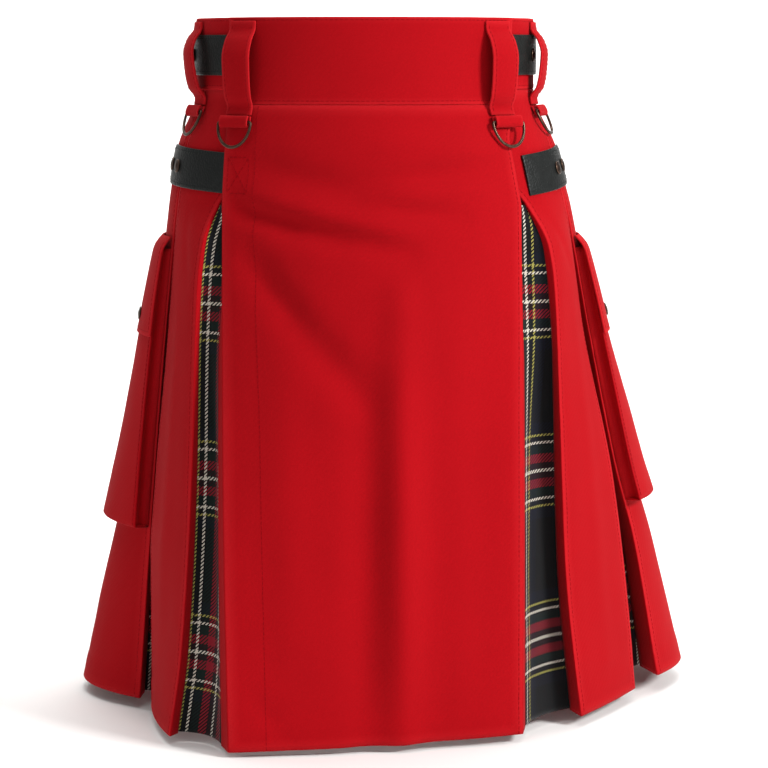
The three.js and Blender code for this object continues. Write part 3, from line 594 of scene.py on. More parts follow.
def tartan_material():
    """Woollen twill woven in a dark check: two sets of stripes that mix thread by thread."""
    tree, shader = new_material("dark_tartan_twill", linear("#141A22"), Roughness=0.9,
                                Sheen_Weight=0.1, Specular_IOR_Level=0.2)
    place = cloth_place(tree)
    parts = add_node(tree, "ShaderNodeSeparateXYZ", {0: place})
    stripes = []
    for axis, start in ((0, 0), (1, SETT_DOWN)):
        moved = maths(tree, "SUBTRACT", parts.outputs[axis], start)
        mirrored = maths(tree, "PINGPONG", moved, SETT_HALF)
        ramp = add_node(tree, "ShaderNodeValToRGB", {0: maths(tree, "DIVIDE", mirrored, SETT_HALF)})
        stops = ramp.color_ramp
        stops.interpolation = "CONSTANT"
        while len(stops.elements) < len(SETT):
            stops.elements.new(1)
        for i, (at, tone) in enumerate(SETT):
            stops.elements[i].position = at / SETT_HALF
            stops.elements[i].color = linear(tone)
        stripes.append(ramp.outputs[0])
    diagonal = maths(tree, "ADD", parts.outputs[0], parts.outputs[1])
    wrapped = maths(tree, "PINGPONG", diagonal, TWILL_REPEAT / 2)
    over = maths(tree, "GREATER_THAN", wrapped, TWILL_REPEAT / 4)
    fuzz = relief(tree, clouds(tree, place, 1.2, 3), 0.3, 0.0003)
    plug(tree, shader, {"Base Color": mix(tree, over, *stripes), "Normal": fuzz})


def leather_material(body):
    """Cowhide, dyed black and pressed with a pebbled grain: soft gloss on the high spots."""
    tree, shader = new_material("black_pebbled_leather", body, Roughness=0.45,
                                Specular_IOR_Level=0.24)
    place = cloth_place(tree)
    pebbles = add_node(tree, "ShaderNodeTexVoronoi",
                       {"Vector": place, "Scale": 1 / 1.9, "Smoothness": 0.4}, feature="SMOOTH_F1")
    pores = clouds(tree, place, 9, 3)
    grain = relief(tree, pebbles.outputs["Distance"], 0.8, 0.0004, invert=True)
    plug(tree, shader, {"Base Color": mix(tree, pores, toned(body, 0.7), toned(body, 2)),
                        "Roughness": between(tree, pores, 0.36, 0.52), "Normal": grain})


def metal_material(body):
    """Steel, bronzed and tumbled: dark brown with brighter rubbed patches."""
    tree, shader = new_material("bronzed_steel", body, Roughness=0.34, Metallic=1.0)
    patch = clouds(tree, object_place(tree), 1 / 260, 3)
    plug(tree, shader, {"Base Color": mix(tree, patch, toned(body, 0.54), toned(body, 2.8)),
                        "Roughness": between(tree, patch, 0.26, 0.44)})


def thread_material(name, colour):
    """Spun polyester sewing thread: a soft sheen and a fine twist."""
    tree, shader = new_material(name, colour, Roughness=0.7, Specular_IOR_Level=0.04)
    twist = clouds(tree, object_place(tree), 1 / 900, 1)
    plug(tree, shader, {"Normal": relief(tree, twist, 0.3, 0.0002)})


def looks():
    """The finishes, made once: material and record slot of each."""
    if "red_cotton_twill" not in bpy.data.materials:
        chosen = bpy.context.scene.kilt_colours
        cotton_material(chosen.cotton)
        tartan_material()
        leather_material(chosen.leather)
        metal_material(chosen.metal)
        thread_material("red_sewing_thread", chosen.cotton_thread)
        thread_material("black_sewing_thread", chosen.leather_thread)
    found = bpy.data.materials
    return {
        "cotton": (found["red_cotton_twill"], "red_cotton"),
        "tartan": (found["dark_tartan_twill"], "dark_tartan_wool"),
        "leather": (found["black_pebbled_leather"], "black_leather"),
        "metal": (found["bronzed_steel"], "bronzed_metal"),
        "red_thread": (found["red_sewing_thread"], "red_cotton"),
        "black_thread": (found["black_sewing_thread"], "black_leather"),
    }


# Stitching
class Seams:
    """Runs of stitches on the cloth, gathered into one mesh."""

    def __init__(self):
        self.bm = bmesh.new()
        self.length, self.gap, self.radius = size("stitch"), size("gap"), size("thread") / 2

    def run(self, route):
        """Stitches along a route of points and outward directions."""
        points, normals = zip(*route)
        marks = lengths(points)
        place = self.gap
        i = 0
        while place + self.length < marks[-1]:
            middle = place + self.length / 2
            while marks[i + 1] < middle:
                i += 1
            share = (middle - marks[i]) / (marks[i + 1] - marks[i])
            along = (points[i + 1] - points[i]).normalized()
            self.stitch(points[i].lerp(points[i + 1], share), along, normals[i])
            place += self.length + self.gap

    def stitch(self, middle, along, normal):
        """One stitch, thick in its middle and thin at its ends, lying on the cloth."""
        side = normal.cross(along).normalized()
        thread = bmesh.new()
        bmesh.ops.create_cone(thread, segments=6, radius1=self.radius / 2, radius2=self.radius,
                              depth=self.length / 2,
                              matrix=Matrix.Translation((0, 0, -self.length / 4)))
        bmesh.ops.mirror(thread, geom=thread.verts[:] + thread.edges[:] + thread.faces[:],
                         axis="Z", merge_dist=0.001)
        bmesh.ops.recalc_face_normals(thread, faces=thread.faces)
        placed(thread, middle, side, along.cross(side), along)
        join(thread, self.bm)

    def level_run(self, points):
        """Stitches along a line of points that runs round the kilt."""
        self.run(list(zip(points, level_normals(points))))

    def piece(self, name, look):
        """The gathered stitches as one finished piece."""
        fit(mesh_object(name, self.bm), *look)


def join(part, whole):
    """Adds one bmesh to another and frees it."""
    mesh = bpy.data.meshes.new("part")
    part.to_mesh(mesh)
    part.free()
    whole.from_mesh(mesh)
    bpy.data.meshes.remove(mesh)


def on_surface(place, a, b, step_a, step_b):
    """A place on a surface and the direction out of it there."""
    side = place(a + step_a, b) - place(a - step_a, b)
    up = place(a, b + step_b) - place(a, b - step_b)
    middle = place(a, b)
    normal = side.cross(up).normalized()
    return middle, normal if normal.dot(Vector((middle.x, middle.y, 0))) > 0 else -normal


# Cloth pieces
ROUND = 1.3            # radius of a folded edge
STRIP_SHARES = (1, 0.8, 0.6, 0.4, 0.2)
SEWN_SHUT = 0.42       # how far a strip leans to its neighbour, where the panels are sewn together
SEWN_TO = 0.06         # share of the drop at which the strips are free
TURN = {"corner": 0.22, "flank": 0.6, "least": 0.8}    # shares of a folded edge's radius


def panel_line(panel, row, count, lift):
    """One row of a panel: its turned strip, folded edge, face, folded edge and other strip."""
    width = panel.width(row)
    inset = ROUND / width
    us = [lerp(inset, 1 - inset, i / count) for i in range(count + 1)]
    face = [panel.face(u, row) for u in us]
    normals = level_normals(face)
    face = [p + n * lift(u, p.z, u * width, panel.fall(row))
            for p, n, u in zip(face, normals, us)]
    sides = []
    for at_end, inner in ((False, face[0]), (True, face[-1])):
        corner, way, length = panel.strip(at_end, row)
        into = (inner - corner).normalized()
        radius = min(ROUND, length * TURN["least"])
        sewn = corner - into * SEWN_SHUT * (1 - ease(row, 0, SEWN_TO))
        side = [sewn + way * max(length * k, radius) for k in STRIP_SHARES]
        side += [sewn + way * radius * TURN["flank"],
                 corner + (way + into) * radius * TURN["corner"]]
        sides.append(side)
    return sides[0] + face + sides[1][::-1]


EDGE_COLUMNS = len(STRIP_SHARES) + 2
HEM = {"stitch": 22, "soft": 1.5, "step": 0.5, "groove": 0.35, "groove_width": 1.2, "points": 60}
EDGE_SEAM = 6          # how far in from a panel's edge its turning is stitched down
SEWN_SIDE = 40         # over the fell no side seam is near enough to pucker the cloth
STIFF_HEM = 40         # height over which the doubled hem keeps its cloth from creasing


def panel_lift(name, top, seed):
    """Relief of a panel's face: folds, slight creasing, puckered seams and the hem's step."""
    panel = APRON if name == "apron" else PANELS[name]
    folds = FOLDS.get(name, ())
    hem, width = panel.fall(1), panel.width(1)

    def lift(u, z, across, fall):
        loose = held(u, z, top)
        side = min(across, abs(width - across)) if z < FELL_Z else SEWN_SIDE
        up = hem - fall
        over = up - HEM["stitch"]
        step = HEM["step"] * (1 - ease(up, HEM["stitch"] - HEM["soft"], HEM["stitch"] + 0.5))
        groove = HEM["groove"] * math.exp(-(over / HEM["groove_width"]) ** 2)
        creases = creasing(across, fall, seed) * (1 - 0.5 * ease(up, STIFF_HEM, 0))
        ripples = pucker(across, fall, over, seed) + pucker(across, fall, side - EDGE_SEAM, seed)
        return (fold_lift(folds, u, z, width) + creases) * loose + ripples + step - groove

    return lift


def panel_stitches(seams, panel, top, lift, edge_in):
    """Hem stitching, and a line down each folded edge, so far in as edge_in says."""
    row = 1 - HEM["stitch"] / (panel.fall(1) + FELL_Z)
    seams.run(surface_run(panel, [(i / HEM["points"], row) for i in range(1, HEM["points"])], lift))
    rows = panel_rows(top)
    start, end = [[inside / panel.width(r) for r in rows] for inside in edge_in]
    seams.run(surface_run(panel, list(zip(start, rows)), lift))
    seams.run(surface_run(panel, [(1 - share, r) for share, r in zip(end, rows)], lift))


def surface_run(panel, places, lift):
    """Places on a panel's face with their outward directions, for stitches."""
    route = []
    for u, row in places:
        out = panel.normal(u, row)
        place = panel.face(u, row)
        rise = lift(u, place.z, u * panel.width(row), panel.fall(row))
        route.append((place + out * rise, out))
    return route


def add_panel(node, name, panel, top, seams, edge_in):
    """One red panel with its stitches. It gives back the relief of its face."""
    lift = panel_lift(name, top, len(node) + panel.end.x[-1] / 50)
    rows = panel_rows(top)
    count = max(int(panel.width(1) / CELL), 8)
    lines = [panel_line(panel, row, count, lift) for row in rows]
    falls = [panel.fall(row) for row in rows]
    add_cloth(node + "_cloth", lines, falls, size("cloth"), looks()["cotton"], [node],
              EDGE_COLUMNS)
    panel_stitches(seams, panel, top, lift, edge_in)
    return lift


# Where the lower left strap is sewn behind the apron
PATCH = {"u": (0.02, 0.1), "z": (-116, -146), "points": 12}


def patch_stitches(seams, lift):
    """The boxed cross that holds the lower left strap to the apron."""
    (u0, u1), (z0, z1) = PATCH["u"], PATCH["z"]
    corners = ((u0, z0), (u1, z0), (u1, z1), (u0, z1))
    routes = [*zip(corners, corners[1:] + corners[:1]), (corners[0], corners[2]),
              (corners[1], corners[3])]
    for a, b in routes:
        shares = [i / PATCH["points"] for i in range(PATCH["points"] + 1)]
        places = [(lerp(a[0], b[0], t), lerp(a[1], b[1], t)) for t in shares]
        seams.run(surface_run(APRON, places, lift))


APRON_STITCH_IN = (32, 4)
PLEAT_STITCH_IN = (5, 5)


def add_apron():
    seams = Seams()
    lift = add_panel("apron", "apron", APRON, BAND_APRON, seams, APRON_STITCH_IN)
    patch_stitches(seams, lift)
    seams.piece("apron_stitching", looks()["red_thread"])


def add_pleat_panels():
    seams = Seams()
    for name, panel in PANELS.items():
        add_panel("pleat_panel_" + name, name, panel, BAND_SIDE, seams, PLEAT_STITCH_IN)
    seams.piece("pleat_stitching", looks()["red_thread"])


# Under apron: angles of its sides, how far it lies inside the apron's edges and behind its face at
# the top and at the hem, how much shorter it is, and where it leaves the form
UNDER = {"angles": (-37.4, 39.4), "in": 15, "behind": (4.9, 9), "shorter": 4, "free": 0.12,
         "columns": 44}


def under_point(share, row):
    """A place on the under apron, on the form down to the fell and behind the apron below it."""
    fell = form_point(lerp(*UNDER["angles"], share), row if row < 0 else FELL_Z)
    if row < 0:
        return fell
    edge = UNDER["in"] / APRON_WIDTH
    u = lerp(edge, 1 - edge, share)
    p = APRON.face(u, row)
    lift = fold_lift(FOLDS["apron"], u, p.z) * held(u, p.z, BAND_APRON)
    p += APRON.normal(u, row) * (lift - lerp(*UNDER["behind"], row))
    free = ease(row, 0, UNDER["free"])
    return Vector((*fell.to_2d().lerp(p.to_2d(), free), p.z + UNDER["shorter"] * row))


def add_under_apron():
    rows = panel_rows(BAND_SIDE)
    lines = [[under_point(i / UNDER["columns"], row) for i in range(UNDER["columns"] + 1)]
             for row in rows]
    add_cloth("under_apron_cloth", lines, [APRON.fall(r) for r in rows], size("cloth"),
              looks()["cotton"], ["under_apron"])


# Tartan insets: name, panels before and after, depth of the fold, and how far across the cloth
# the tartan's white centre line runs
INSETS = (
    ("right_1", "apron", "right_1", 6, -17), ("right_2", "right_1", "right_2", 5, 40),
    ("right_3", "right_2", "right_3", 5, 10), ("right_4", "right_3", "right_4", 5, 30),
    ("right_5", "right_4", "back", 5, 50), ("left_5", "back", "left_4", 5, 20),
    ("left_4", "left_4", "left_3", 5, 40), ("left_3", "left_3", "left_2", 5, 30),
    ("left_2", "left_2", "left_1", 5, 30), ("left_1", "left_1", "apron", 9, 33),
)
INSET = {"behind": 0.5, "shorter": 1.5, "top": 0.004, "foot": -604, "cloth": 0.9, "columns": 16,
         "ripple": 1.2}
INSET_TURNS = (1.6, 0.64)    # how far an inset's sides reach in behind the turned strips


def inset_line(before, after, bow, drop, seed):
    """One row of a tartan inset, from behind one turned strip to behind the next."""
    ends = []
    for panel, at_end in ((before, True), (after, False)):
        corner, way, length = panel.strip(at_end, drop)
        side = Vector((-way.y, way.x, 0)) if at_end else Vector((way.y, -way.x, 0))
        ends.append((corner + way * (length + INSET["behind"]), side))
    (a, side_a), (b, side_b) = ends
    run = (b - a).to_2d().normalized()
    deeper = Vector((-run.y, run.x, 0))
    depth = bow * ease(drop, 0, 0.5)
    line = [a + side_a * turn for turn in INSET_TURNS]
    for share in [i / INSET["columns"] for i in range(INSET["columns"] + 1)]:
        ripple = noise.noise(Vector((share * 3 + seed, drop * 5, seed))) * INSET["ripple"]
        swell = 4 * share * (1 - share)
        line.append(a.lerp(b, share) + deeper * (depth + ripple * ease(drop, 0, 0.3)) * swell)
    line += [b + side_b * turn for turn in INSET_TURNS[::-1]]
    return [p + Vector((0, 0, INSET["shorter"] * drop)) for p in line]


def add_insets():
    panels = {"apron": APRON, **PANELS}
    for i, (name, before, after, bow, pivot) in enumerate(INSETS):
        drops = steps(INSET["top"], 1, CELL / FREE_LENGTH)
        lines = [inset_line(panels[before], panels[after], bow, d, i * 3.7) for d in drops]
        falls = [-lerp(FELL_Z, INSET["foot"], d) for d in drops]
        add_cloth("tartan_inset_" + name + "_cloth", lines, falls, INSET["cloth"],
                  looks()["tartan"], ["tartan_inset_" + name],
                  start=-pivot)


BANDS = {
    "waistband_apron": (BAND_APRON, BAND_LAYER),
    "waistband_side_and_back": (BAND_SIDE, 0),
    "waistband_under_apron": (BAND_SIDE, 0),
}
SIDE_BAND = (39.8, 322.2)
BAND_STITCH = {"top": 2.5, "foot": 3}
BAND_WAVE = {"height": 0.5, "squash": 1.6, "flat_edge": 8, "most": 0.9}
AROUND = 2.6           # millimetres in a degree round the waist


def band_angles(name, z):
    if name == "waistband_apron":
        return EDGES["apron_left"].angle(z) - 360, EDGES["apron_right"].angle(z)
    return SIDE_BAND if name == "waistband_side_and_back" else UNDER["angles"]


def band_place(name, share, z):
    """A place on a waistband's face, slightly uneven between its stitched edges."""
    height, layer = BANDS[name]
    angle = lerp(*band_angles(name, z), share)
    edge = BAND_WAVE["flat_edge"]
    loose = ease(-z, 0, edge) * (1 - ease(-z, height - edge, height))
    wave = creasing(angle * AROUND, -z * BAND_WAVE["squash"], 3.3) * BAND_WAVE["height"] * loose
    ripple = pucker(angle * AROUND, -z, min(-z, height + z) - BAND_STITCH["foot"], 5.1)
    return form_point(angle, z, layer + min(wave + ripple, BAND_WAVE["most"]))


def add_waistbands():
    seams = Seams()
    for name, (height, layer) in BANDS.items():
        count = int((band_angles(name, 0)[1] - band_angles(name, 0)[0]) / 2)
        zs = steps(0, -height, 3)
        lines = [[band_place(name, i / count, z) for i in range(count + 1)] for z in zs]
        add_cloth(name + "_cloth", lines, [-z for z in zs], size("band"), looks()["cotton"], [name],
                  bevel=0.8)
        for z in (-BAND_STITCH["top"], BAND_STITCH["foot"] - height):
            seams.level_run([band_place(name, i / count, z) for i in range(1, count)])
    seams.piece("waistband_stitching", looks()["red_thread"])


# Belt loops: angle of the top and the foot, layer under it, height of the foot, with a ring or not
LOOPS = {
    "front_left": (-42, -42.2, BAND_LAYER, -81, True),
    "front_right": (47.6, 47.6, BAND_LAYER, -81, True),
    "side_left": (-77, -71, 0, -73, True),
    "side_right": (81, 78, 0, -73, True),
    "back_left": (-132, -132, 0, -73, False),
    "back": (180, 180, 0, -73, False),
    "back_right": (132, 132, 0, -73, False),
}
RINGED = [name for name, row in LOOPS.items() if row[4]]
LOOP_STAND = ((0, 0.08, 0.2, 0.38, 0.62, 0.8, 0.93, 1), (0, 0.4, 6.5, 10.5, 9.5, 7, 0.9, 0.6))
LOOP_TOP_Z = -3
LOOP_CROWN = 0.5
LOOP_STEP = 0.04
LOOP_LENGTH = 80       # along the cloth of a loop
LOOP_STITCH = 0.78     # share of the half width at which its sides are stitched
FOOT_GAP = 0.9
TAB = {"width": 29, "thick": 6, "below": 5.8}
RING = {"width": 36, "reach": 22.5, "wire": 1.2, "corner": 1.8, "sides": 12, "bow": 28}


def per_degree(angle, z):
    return (form_point(angle + 0.5, z) - form_point(angle - 0.5, z)).length


def loop_point(name, side, share):
    """A place on a belt loop: side from -1 to 1 across it, share from its top to its foot."""
    top, foot, base, end = LOOPS[name][:4]
    z = lerp(LOOP_TOP_Z, end, share)
    angle = lerp(top, foot, share)
    half = LOOP_WIDTH / 2 / per_degree(angle, z)
    crown = LOOP_CROWN * (1 - side * side)
    stand = base + SEAM + LOOP_CLOTH + curve(*LOOP_STAND, share) + crown
    return form_point(angle + side * half, z, stand)


def add_belt_loops():
    seams = Seams()
    for name in LOOPS:
        shares = steps(0, 1, LOOP_STEP)
        lines = [[loop_point(name, s, share) for s in steps(-1, 1, 0.2)] for share in shares]
        falls = [share * LOOP_LENGTH for share in shares]
        add_cloth("belt_loop_" + name + "_cloth", lines, falls, size("loop"), looks()["cotton"],
                  ["belt_loop_" + name], bevel=0.5)
        place = partial(loop_point, name)
        for side in (-LOOP_STITCH, LOOP_STITCH):
            seams.run([on_surface(place, side, share, 0.1, LOOP_STEP / 2)
                       for share in shares[1:-1]])
    seams.piece("belt_loop_stitching", looks()["red_thread"])


def tab_frame(name):
    """Middle of a tab, and its sideways, downward and outward directions."""
    foot, base, end = LOOPS[name][1:4]
    z = end - TAB["below"]
    out = base + FOOT_GAP + TAB["thick"] / 2
    middle = form_point(foot, z, out)
    side = (form_point(foot + 1, z, out) - form_point(foot - 1, z, out)).normalized()
    slope = form_point(foot, z - RING["reach"], out) - middle
    down = (slope - side * slope.dot(side)).normalized()
    return middle, side, down, -side.cross(down)


# A ring tab's section, round its ring's bar: distance off the loop, and height
TAB_PATH = ((-2.9, 5.4), (-2.9, 2), (-2.9, -1), (-2.5, -2.6), (-1.4, -4.2), (0, -4.9),
            (1.4, -4.2), (2.5, -2.6), (2.9, -1), (2.9, 2), (2.6, 4), (1.6, 5.4))


def add_ring_tabs():
    for name in RINGED:
        middle, side, down, outward = tab_frame(name)
        lines = []
        for off, up in TAB_PATH:
            lines.append([middle - side * s * TAB["width"] / 2 + outward * off - down * up
                          for s in steps(-1, 1, 0.1)])
        falls = lengths([Vector(place) for place in TAB_PATH])
        add_cloth("ring_tab_" + name + "_cloth", lines, falls, CLOTH_SHOWN, looks()["cotton"],
                  ["ring_tab_" + name], bevel=0.35)


def ring_wire():
    """A D-ring of bent wire: a bow, two tight corners and the straight bar between them."""
    half = RING["width"] / 2 - RING["wire"]
    bow = RING["reach"] - RING["wire"] - RING["corner"]
    bm = bmesh.new()
    start = Matrix.Translation((half, 0, 0)) @ Matrix.Rotation(math.pi / 2, 4, "X")
    bmesh.ops.create_circle(bm, segments=RING["sides"], radius=RING["wire"], matrix=start)
    wire = bmesh.ops.spin(bm, geom=bm.edges[:] + bm.verts[:], cent=(0, 0, 0), axis=(0, 0, -1),
                          angle=math.pi, steps=RING["bow"])
    bmesh.ops.scale(bm, vec=(1, bow / half, 1), verts=bm.verts)
    far = [g for g in wire["geom_last"] if isinstance(g, bmesh.types.BMEdge)]
    near = [e for e in bm.edges if e.is_boundary and e not in far]
    ends = []
    for edges, sign in ((near, 1), (far, -1)):
        centre = (sign * (half - RING["corner"]), 0, 0)
        verts = list({v for e in edges for v in e.verts})
        turned = bmesh.ops.spin(bm, geom=edges + verts, cent=centre, axis=(0, 0, sign),
                                angle=math.pi / 2, steps=5)
        ends += [g for g in turned["geom_last"] if isinstance(g, bmesh.types.BMEdge)]
    bmesh.ops.bridge_loops(bm, edges=ends)
    bmesh.ops.translate(bm, vec=(0, -RING["corner"], 0), verts=bm.verts)
    bmesh.ops.recalc_face_normals(bm, faces=bm.faces)
    return bm


def add_d_rings():
    for name in RINGED:
        middle, side, down, outward = tab_frame(name)
        bm = ring_wire()
        placed(bm, middle, side, -down, outward)
        fit(mesh_object("d_ring_" + name + "_wire", bm), *looks()["metal"], ["d_ring_" + name],
            "ring_" + name)


# Leather straps: angles of the ends, heights of the ends, which end is rounded, snaps
STRAPS = {
    "upper_left": ((262, 316), (-31, -31.5), "from", (279,)),
    "upper_right": ((51, 99), (-31, -31), "to", (76,)),
    "lower_left": ((271, 319.5), (-123.5, -130), "from", (279, 287)),
    "lower_right": ((51.5, 90), (-132, -123.5), "to", (73, 81)),
}
STRAP_ROUND = 13       # how far from its tip the strap starts to round
STRAP_CROWN = 0.35
STRAP_STITCH = 0.82    # share of the half width at which its sides are stitched
STRAP_COLUMNS = 44


def strap_point(name, share, side):
    """A place on a strap: share along it, side from -1 below to 1 above."""
    angles, heights, end = STRAPS[name][:3]
    angle = lerp(*angles, share)
    tip = share if end == "from" else 1 - share
    reach = tip * abs(angles[1] - angles[0]) * per_degree(angle, heights[0])
    narrow = 1 - 0.55 * (1 - min(reach / STRAP_ROUND, 1)) ** 2
    z = lerp(*heights, share) + side * narrow * STRAP_WIDTH / 2
    return form_point(angle, z, SEAM + LEATHER - STRAP_CROWN * side * side)


def add_straps():
    seams = Seams()
    for name in STRAPS:
        shares = steps(0, 1, 1 / STRAP_COLUMNS)
        sides = steps(1, -1, 0.125)
        lines = [[strap_point(name, t, s) for t in shares] for s in sides]
        obj = sheet_mesh("strap_" + name + "_leather", lines, [s * STRAP_WIDTH / 2 for s in sides])
        thicken(obj, size("leather"), 0.5)
        fit(obj, *looks()["leather"], ["strap_" + name])
        for side in (-STRAP_STITCH, STRAP_STITCH):
            seams.level_run([strap_point(name, t, side) for t in shares[2:-1]])
    seams.piece("strap_stitching", looks()["black_thread"])


SNAP_PROFILE = ((0, 0.1), (5.5, 0.1), (5.8, 0.35), (5.8, 0.7), (5.3, 1.15), (4.4, 1.35),
                (3.9, 1.2), (3.4, 1.35), (2.4, 1.75), (1.2, 1.9), (0, 1.95))
SNAP_STAND = {"strap": 0.15, "flap": 0.25}     # how far a cap's foot stands off its surface
SNAP_STEPS = 28
STRAP_SNAP_REACH = (1, 3)      # degrees and height over which a snap's direction is taken
FLAP_SNAP_REACH = (5, 8)       # millimetres across and height


def snap_cap(middle, normal, up):
    """A pressed cap with a rolled rim, spun and set square on its surface."""
    bm = bmesh.new()
    verts = [bm.verts.new((x, 0, z)) for x, z in SNAP_PROFILE]
    edges = [bm.edges.new(pair) for pair in zip(verts, verts[1:])]
    bmesh.ops.spin(bm, geom=verts + edges, cent=(0, 0, 0), axis=(0, 0, 1), angle=math.tau,
                   steps=SNAP_STEPS, use_merge=True)
    bmesh.ops.remove_doubles(bm, verts=bm.verts, dist=0.001)
    bmesh.ops.recalc_face_normals(bm, faces=bm.faces)
    side = up.cross(normal).normalized()
    placed(bm, middle, side, normal.cross(side), normal)
    return bm


def square_to(place):
    """Middle, outward direction and upward direction of a snap from its surface."""
    side = place(1, 0) - place(-1, 0)
    up = place(0, 1) - place(0, -1)
    return place(0, 0), side.cross(up).normalized(), up.normalized()


def add_strap_snaps():
    for name, (angles, heights, end, snaps) in STRAPS.items():
        for i, angle in enumerate(snaps):
            z = lerp(*heights, (angle - angles[0]) / (angles[1] - angles[0]))
            wide, tall = STRAP_SNAP_REACH
            bm = snap_cap(*square_to(lambda s, r: form_point(
                angle + wide * s, z + tall * r, SEAM + LEATHER + SNAP_STAND["strap"])))
            node = f"strap_snap_{name}_{i + 1}"
            fit(mesh_object(node + "_cap", bm), *looks()["metal"], [node])


# Bellows pockets, measured from the front edge of the panel that each is sewn to
POCKET = {"start": 3, "width": 130, "mouth": -197, "fold": 5, "base": 0.8, "sag": 1.6,
          "sag_z": (230, 420), "columns": 26, "stitch": 3.5, "corner": (0.4, 0.5), "face_in": 1.5,
          "dent": 0.8}
POCKET_SEEDS = {"left": 9.1, "right": 4.4}
# The folded side of a bellows pocket: share of the fold's depth, and share of the pocket's depth
GUSSET = ((0, 0), (0.6, 0.3), (1, 0.5), (0.5, 0.75))
POCKET_FOOT = ((0.08, 1), (0.35, 6), (0.65, 12), (1, 18))    # closing share, and cloth used up
# Panel, whether its front edge is the panel's end, and height of the bottom
POCKETS = {"left": ("left_2", True, -442), "right": ("right_2", False, -427)}
# Height, and how far a pocket's face or its flap stands off the panel there
POCKET_DEPTH = ((-187, -230, -273, -350, -442), (6.5, 10, 12, 14, 15.5))
FLAP_DEPTH = ((-186, -191, -197, -215, -245, -273), (2.8, 6.5, 9.4, 11.2, 13.2, 14.4))
FLAP = {"over": 1.5, "top": -186, "foot": -273, "stitch": 4, "dent": 0.5, "dent_z": (200, 215)}
FLAP_SNAPS = (38, 98)
FLAP_SNAP_Z = -256


class OffPanel:
    """Places on a pocket at one height, by distance from the panel's front edge and off it."""
    MARKS = 16

    def __init__(self, name, z):
        panel_name, self.flip, bottom = POCKETS[name]
        self.panel = PANELS[panel_name]
        self.row = (FELL_Z - z) / (FELL_Z - self.panel.start.height(1))
        shares = [i / self.MARKS for i in range(self.MARKS + 1)]
        self.us = [1 - s for s in shares] if self.flip else shares
        self.marks = lengths([self.panel.face(u, self.row) for u in self.us])

    def at(self, across, depth):
        across = max(across, 0)
        i = 0
        while i < self.MARKS - 1 and self.marks[i + 1] < across:
            i += 1
        share = (across - self.marks[i]) / (self.marks[i + 1] - self.marks[i])
        u = lerp(self.us[i], self.us[i + 1], share)
        return self.panel.face(u, self.row) + self.panel.normal(u, self.row) * depth


def pocket_row(name, z, close=0.0):
    """One row of a pocket: folded side, face, folded side. close draws it back to the panel."""
    spot = OffPanel(name, z)
    low, high = POCKET["start"], POCKET["start"] + POCKET["width"]
    deep = lerp(curve(*POCKET_DEPTH, z), POCKET["base"], close)
    fold = POCKET["fold"] * (1 - close)
    sag = POCKET["sag"] * (1 - close) * ease(-z, *POCKET["sag_z"])
    outline = [(low + fold * a, lerp(POCKET["base"], deep, d)) for a, d in GUSSET]
    outline.append((low + POCKET["corner"][0], deep - POCKET["corner"][1]))
    mirrored = [(low + high - a, d) for a, d in outline[::-1]]
    for share in [i / POCKET["columns"] for i in range(POCKET["columns"] + 1)]:
        dent = min(creasing(share * POCKET["width"], -z, POCKET_SEEDS[name]), POCKET["dent"])
        outline.append((lerp(low + POCKET["face_in"], high - POCKET["face_in"], share),
                        deep + dent * (1 - close) - sag * 4 * share * (1 - share)))
    row = [spot.at(a, d) for a, d in outline + mirrored]
    return row[::-1] if spot.flip else row


def add_pockets():
    seams = Seams()
    for name, (panel, flip, bottom) in POCKETS.items():
        zs = steps(POCKET["mouth"], bottom + 1.2)
        lines = [pocket_row(name, z) for z in zs]
        lines += [pocket_row(name, bottom, close) for close, used in POCKET_FOOT]
        falls = [-z for z in zs] + [used - bottom for close, used in POCKET_FOOT]
        add_cloth(f"pocket_{name}_cloth", lines, falls, size("cloth"), looks()["cotton"],
                  ["pocket_" + name])
        for across in (POCKET["stitch"], POCKET["width"] - POCKET["stitch"]):
            across += POCKET["start"]
            points = [OffPanel(name, z).at(across, curve(*POCKET_DEPTH, z) + 0.2) for z in zs]
            out = [OffPanel(name, z).at(across, 30) - OffPanel(name, z).at(across, 0) for z in zs]
            seams.run(list(zip(points, out)))
    seams.piece("pocket_stitching", looks()["red_thread"])


def flap_point(name, across, z, out=0.0):
    """A place on a pocket's flap, by distance from the panel's front edge and height."""
    depth = curve(*FLAP_DEPTH, z)
    dent = creasing(across, -z, 2.2) * FLAP["dent"] * ease(-z, *FLAP["dent_z"])
    return OffPanel(name, z).at(across, depth + dent + out)


def add_flaps():
    seams = Seams()
    low = POCKET["start"] - FLAP["over"]
    high = POCKET["start"] + POCKET["width"] + FLAP["over"]
    for name, (panel, flip, bottom) in POCKETS.items():
        zs = steps(FLAP["top"], FLAP["foot"], 4)
        across = steps(low, high)
        across = across[::-1] if flip else across
        lines = [[flap_point(name, a, z) for a in across] for z in zs]
        add_cloth(f"pocket_flap_{name}_cloth", lines, [-z for z in zs], size("flap"),
                  looks()["cotton"], ["pocket_flap_" + name],
                  bevel=0.5)
        routes = [[(a, FLAP["foot"] + FLAP["stitch"]) for a in across]]
        routes += [[(a, z) for z in zs[1:-1]]
                   for a in (low + FLAP["stitch"], high - FLAP["stitch"])]
        for route in routes:
            seams.run([on_surface(partial(flap_point, name), a, z, 2, 2) for a, z in route])
        wide, tall = FLAP_SNAP_REACH
        wide = -wide if flip else wide
        for i, middle in enumerate(FLAP_SNAPS):
            bm = snap_cap(*square_to(lambda s, r: flap_point(
                name, middle + wide * s, FLAP_SNAP_Z + tall * r, SNAP_STAND["flap"])))
            node = f"flap_snap_{name}_{i + 1}"
            fit(mesh_object(node + "_cap", bm), *looks()["metal"], [node])
    seams.piece("flap_stitching", looks()["red_thread"])


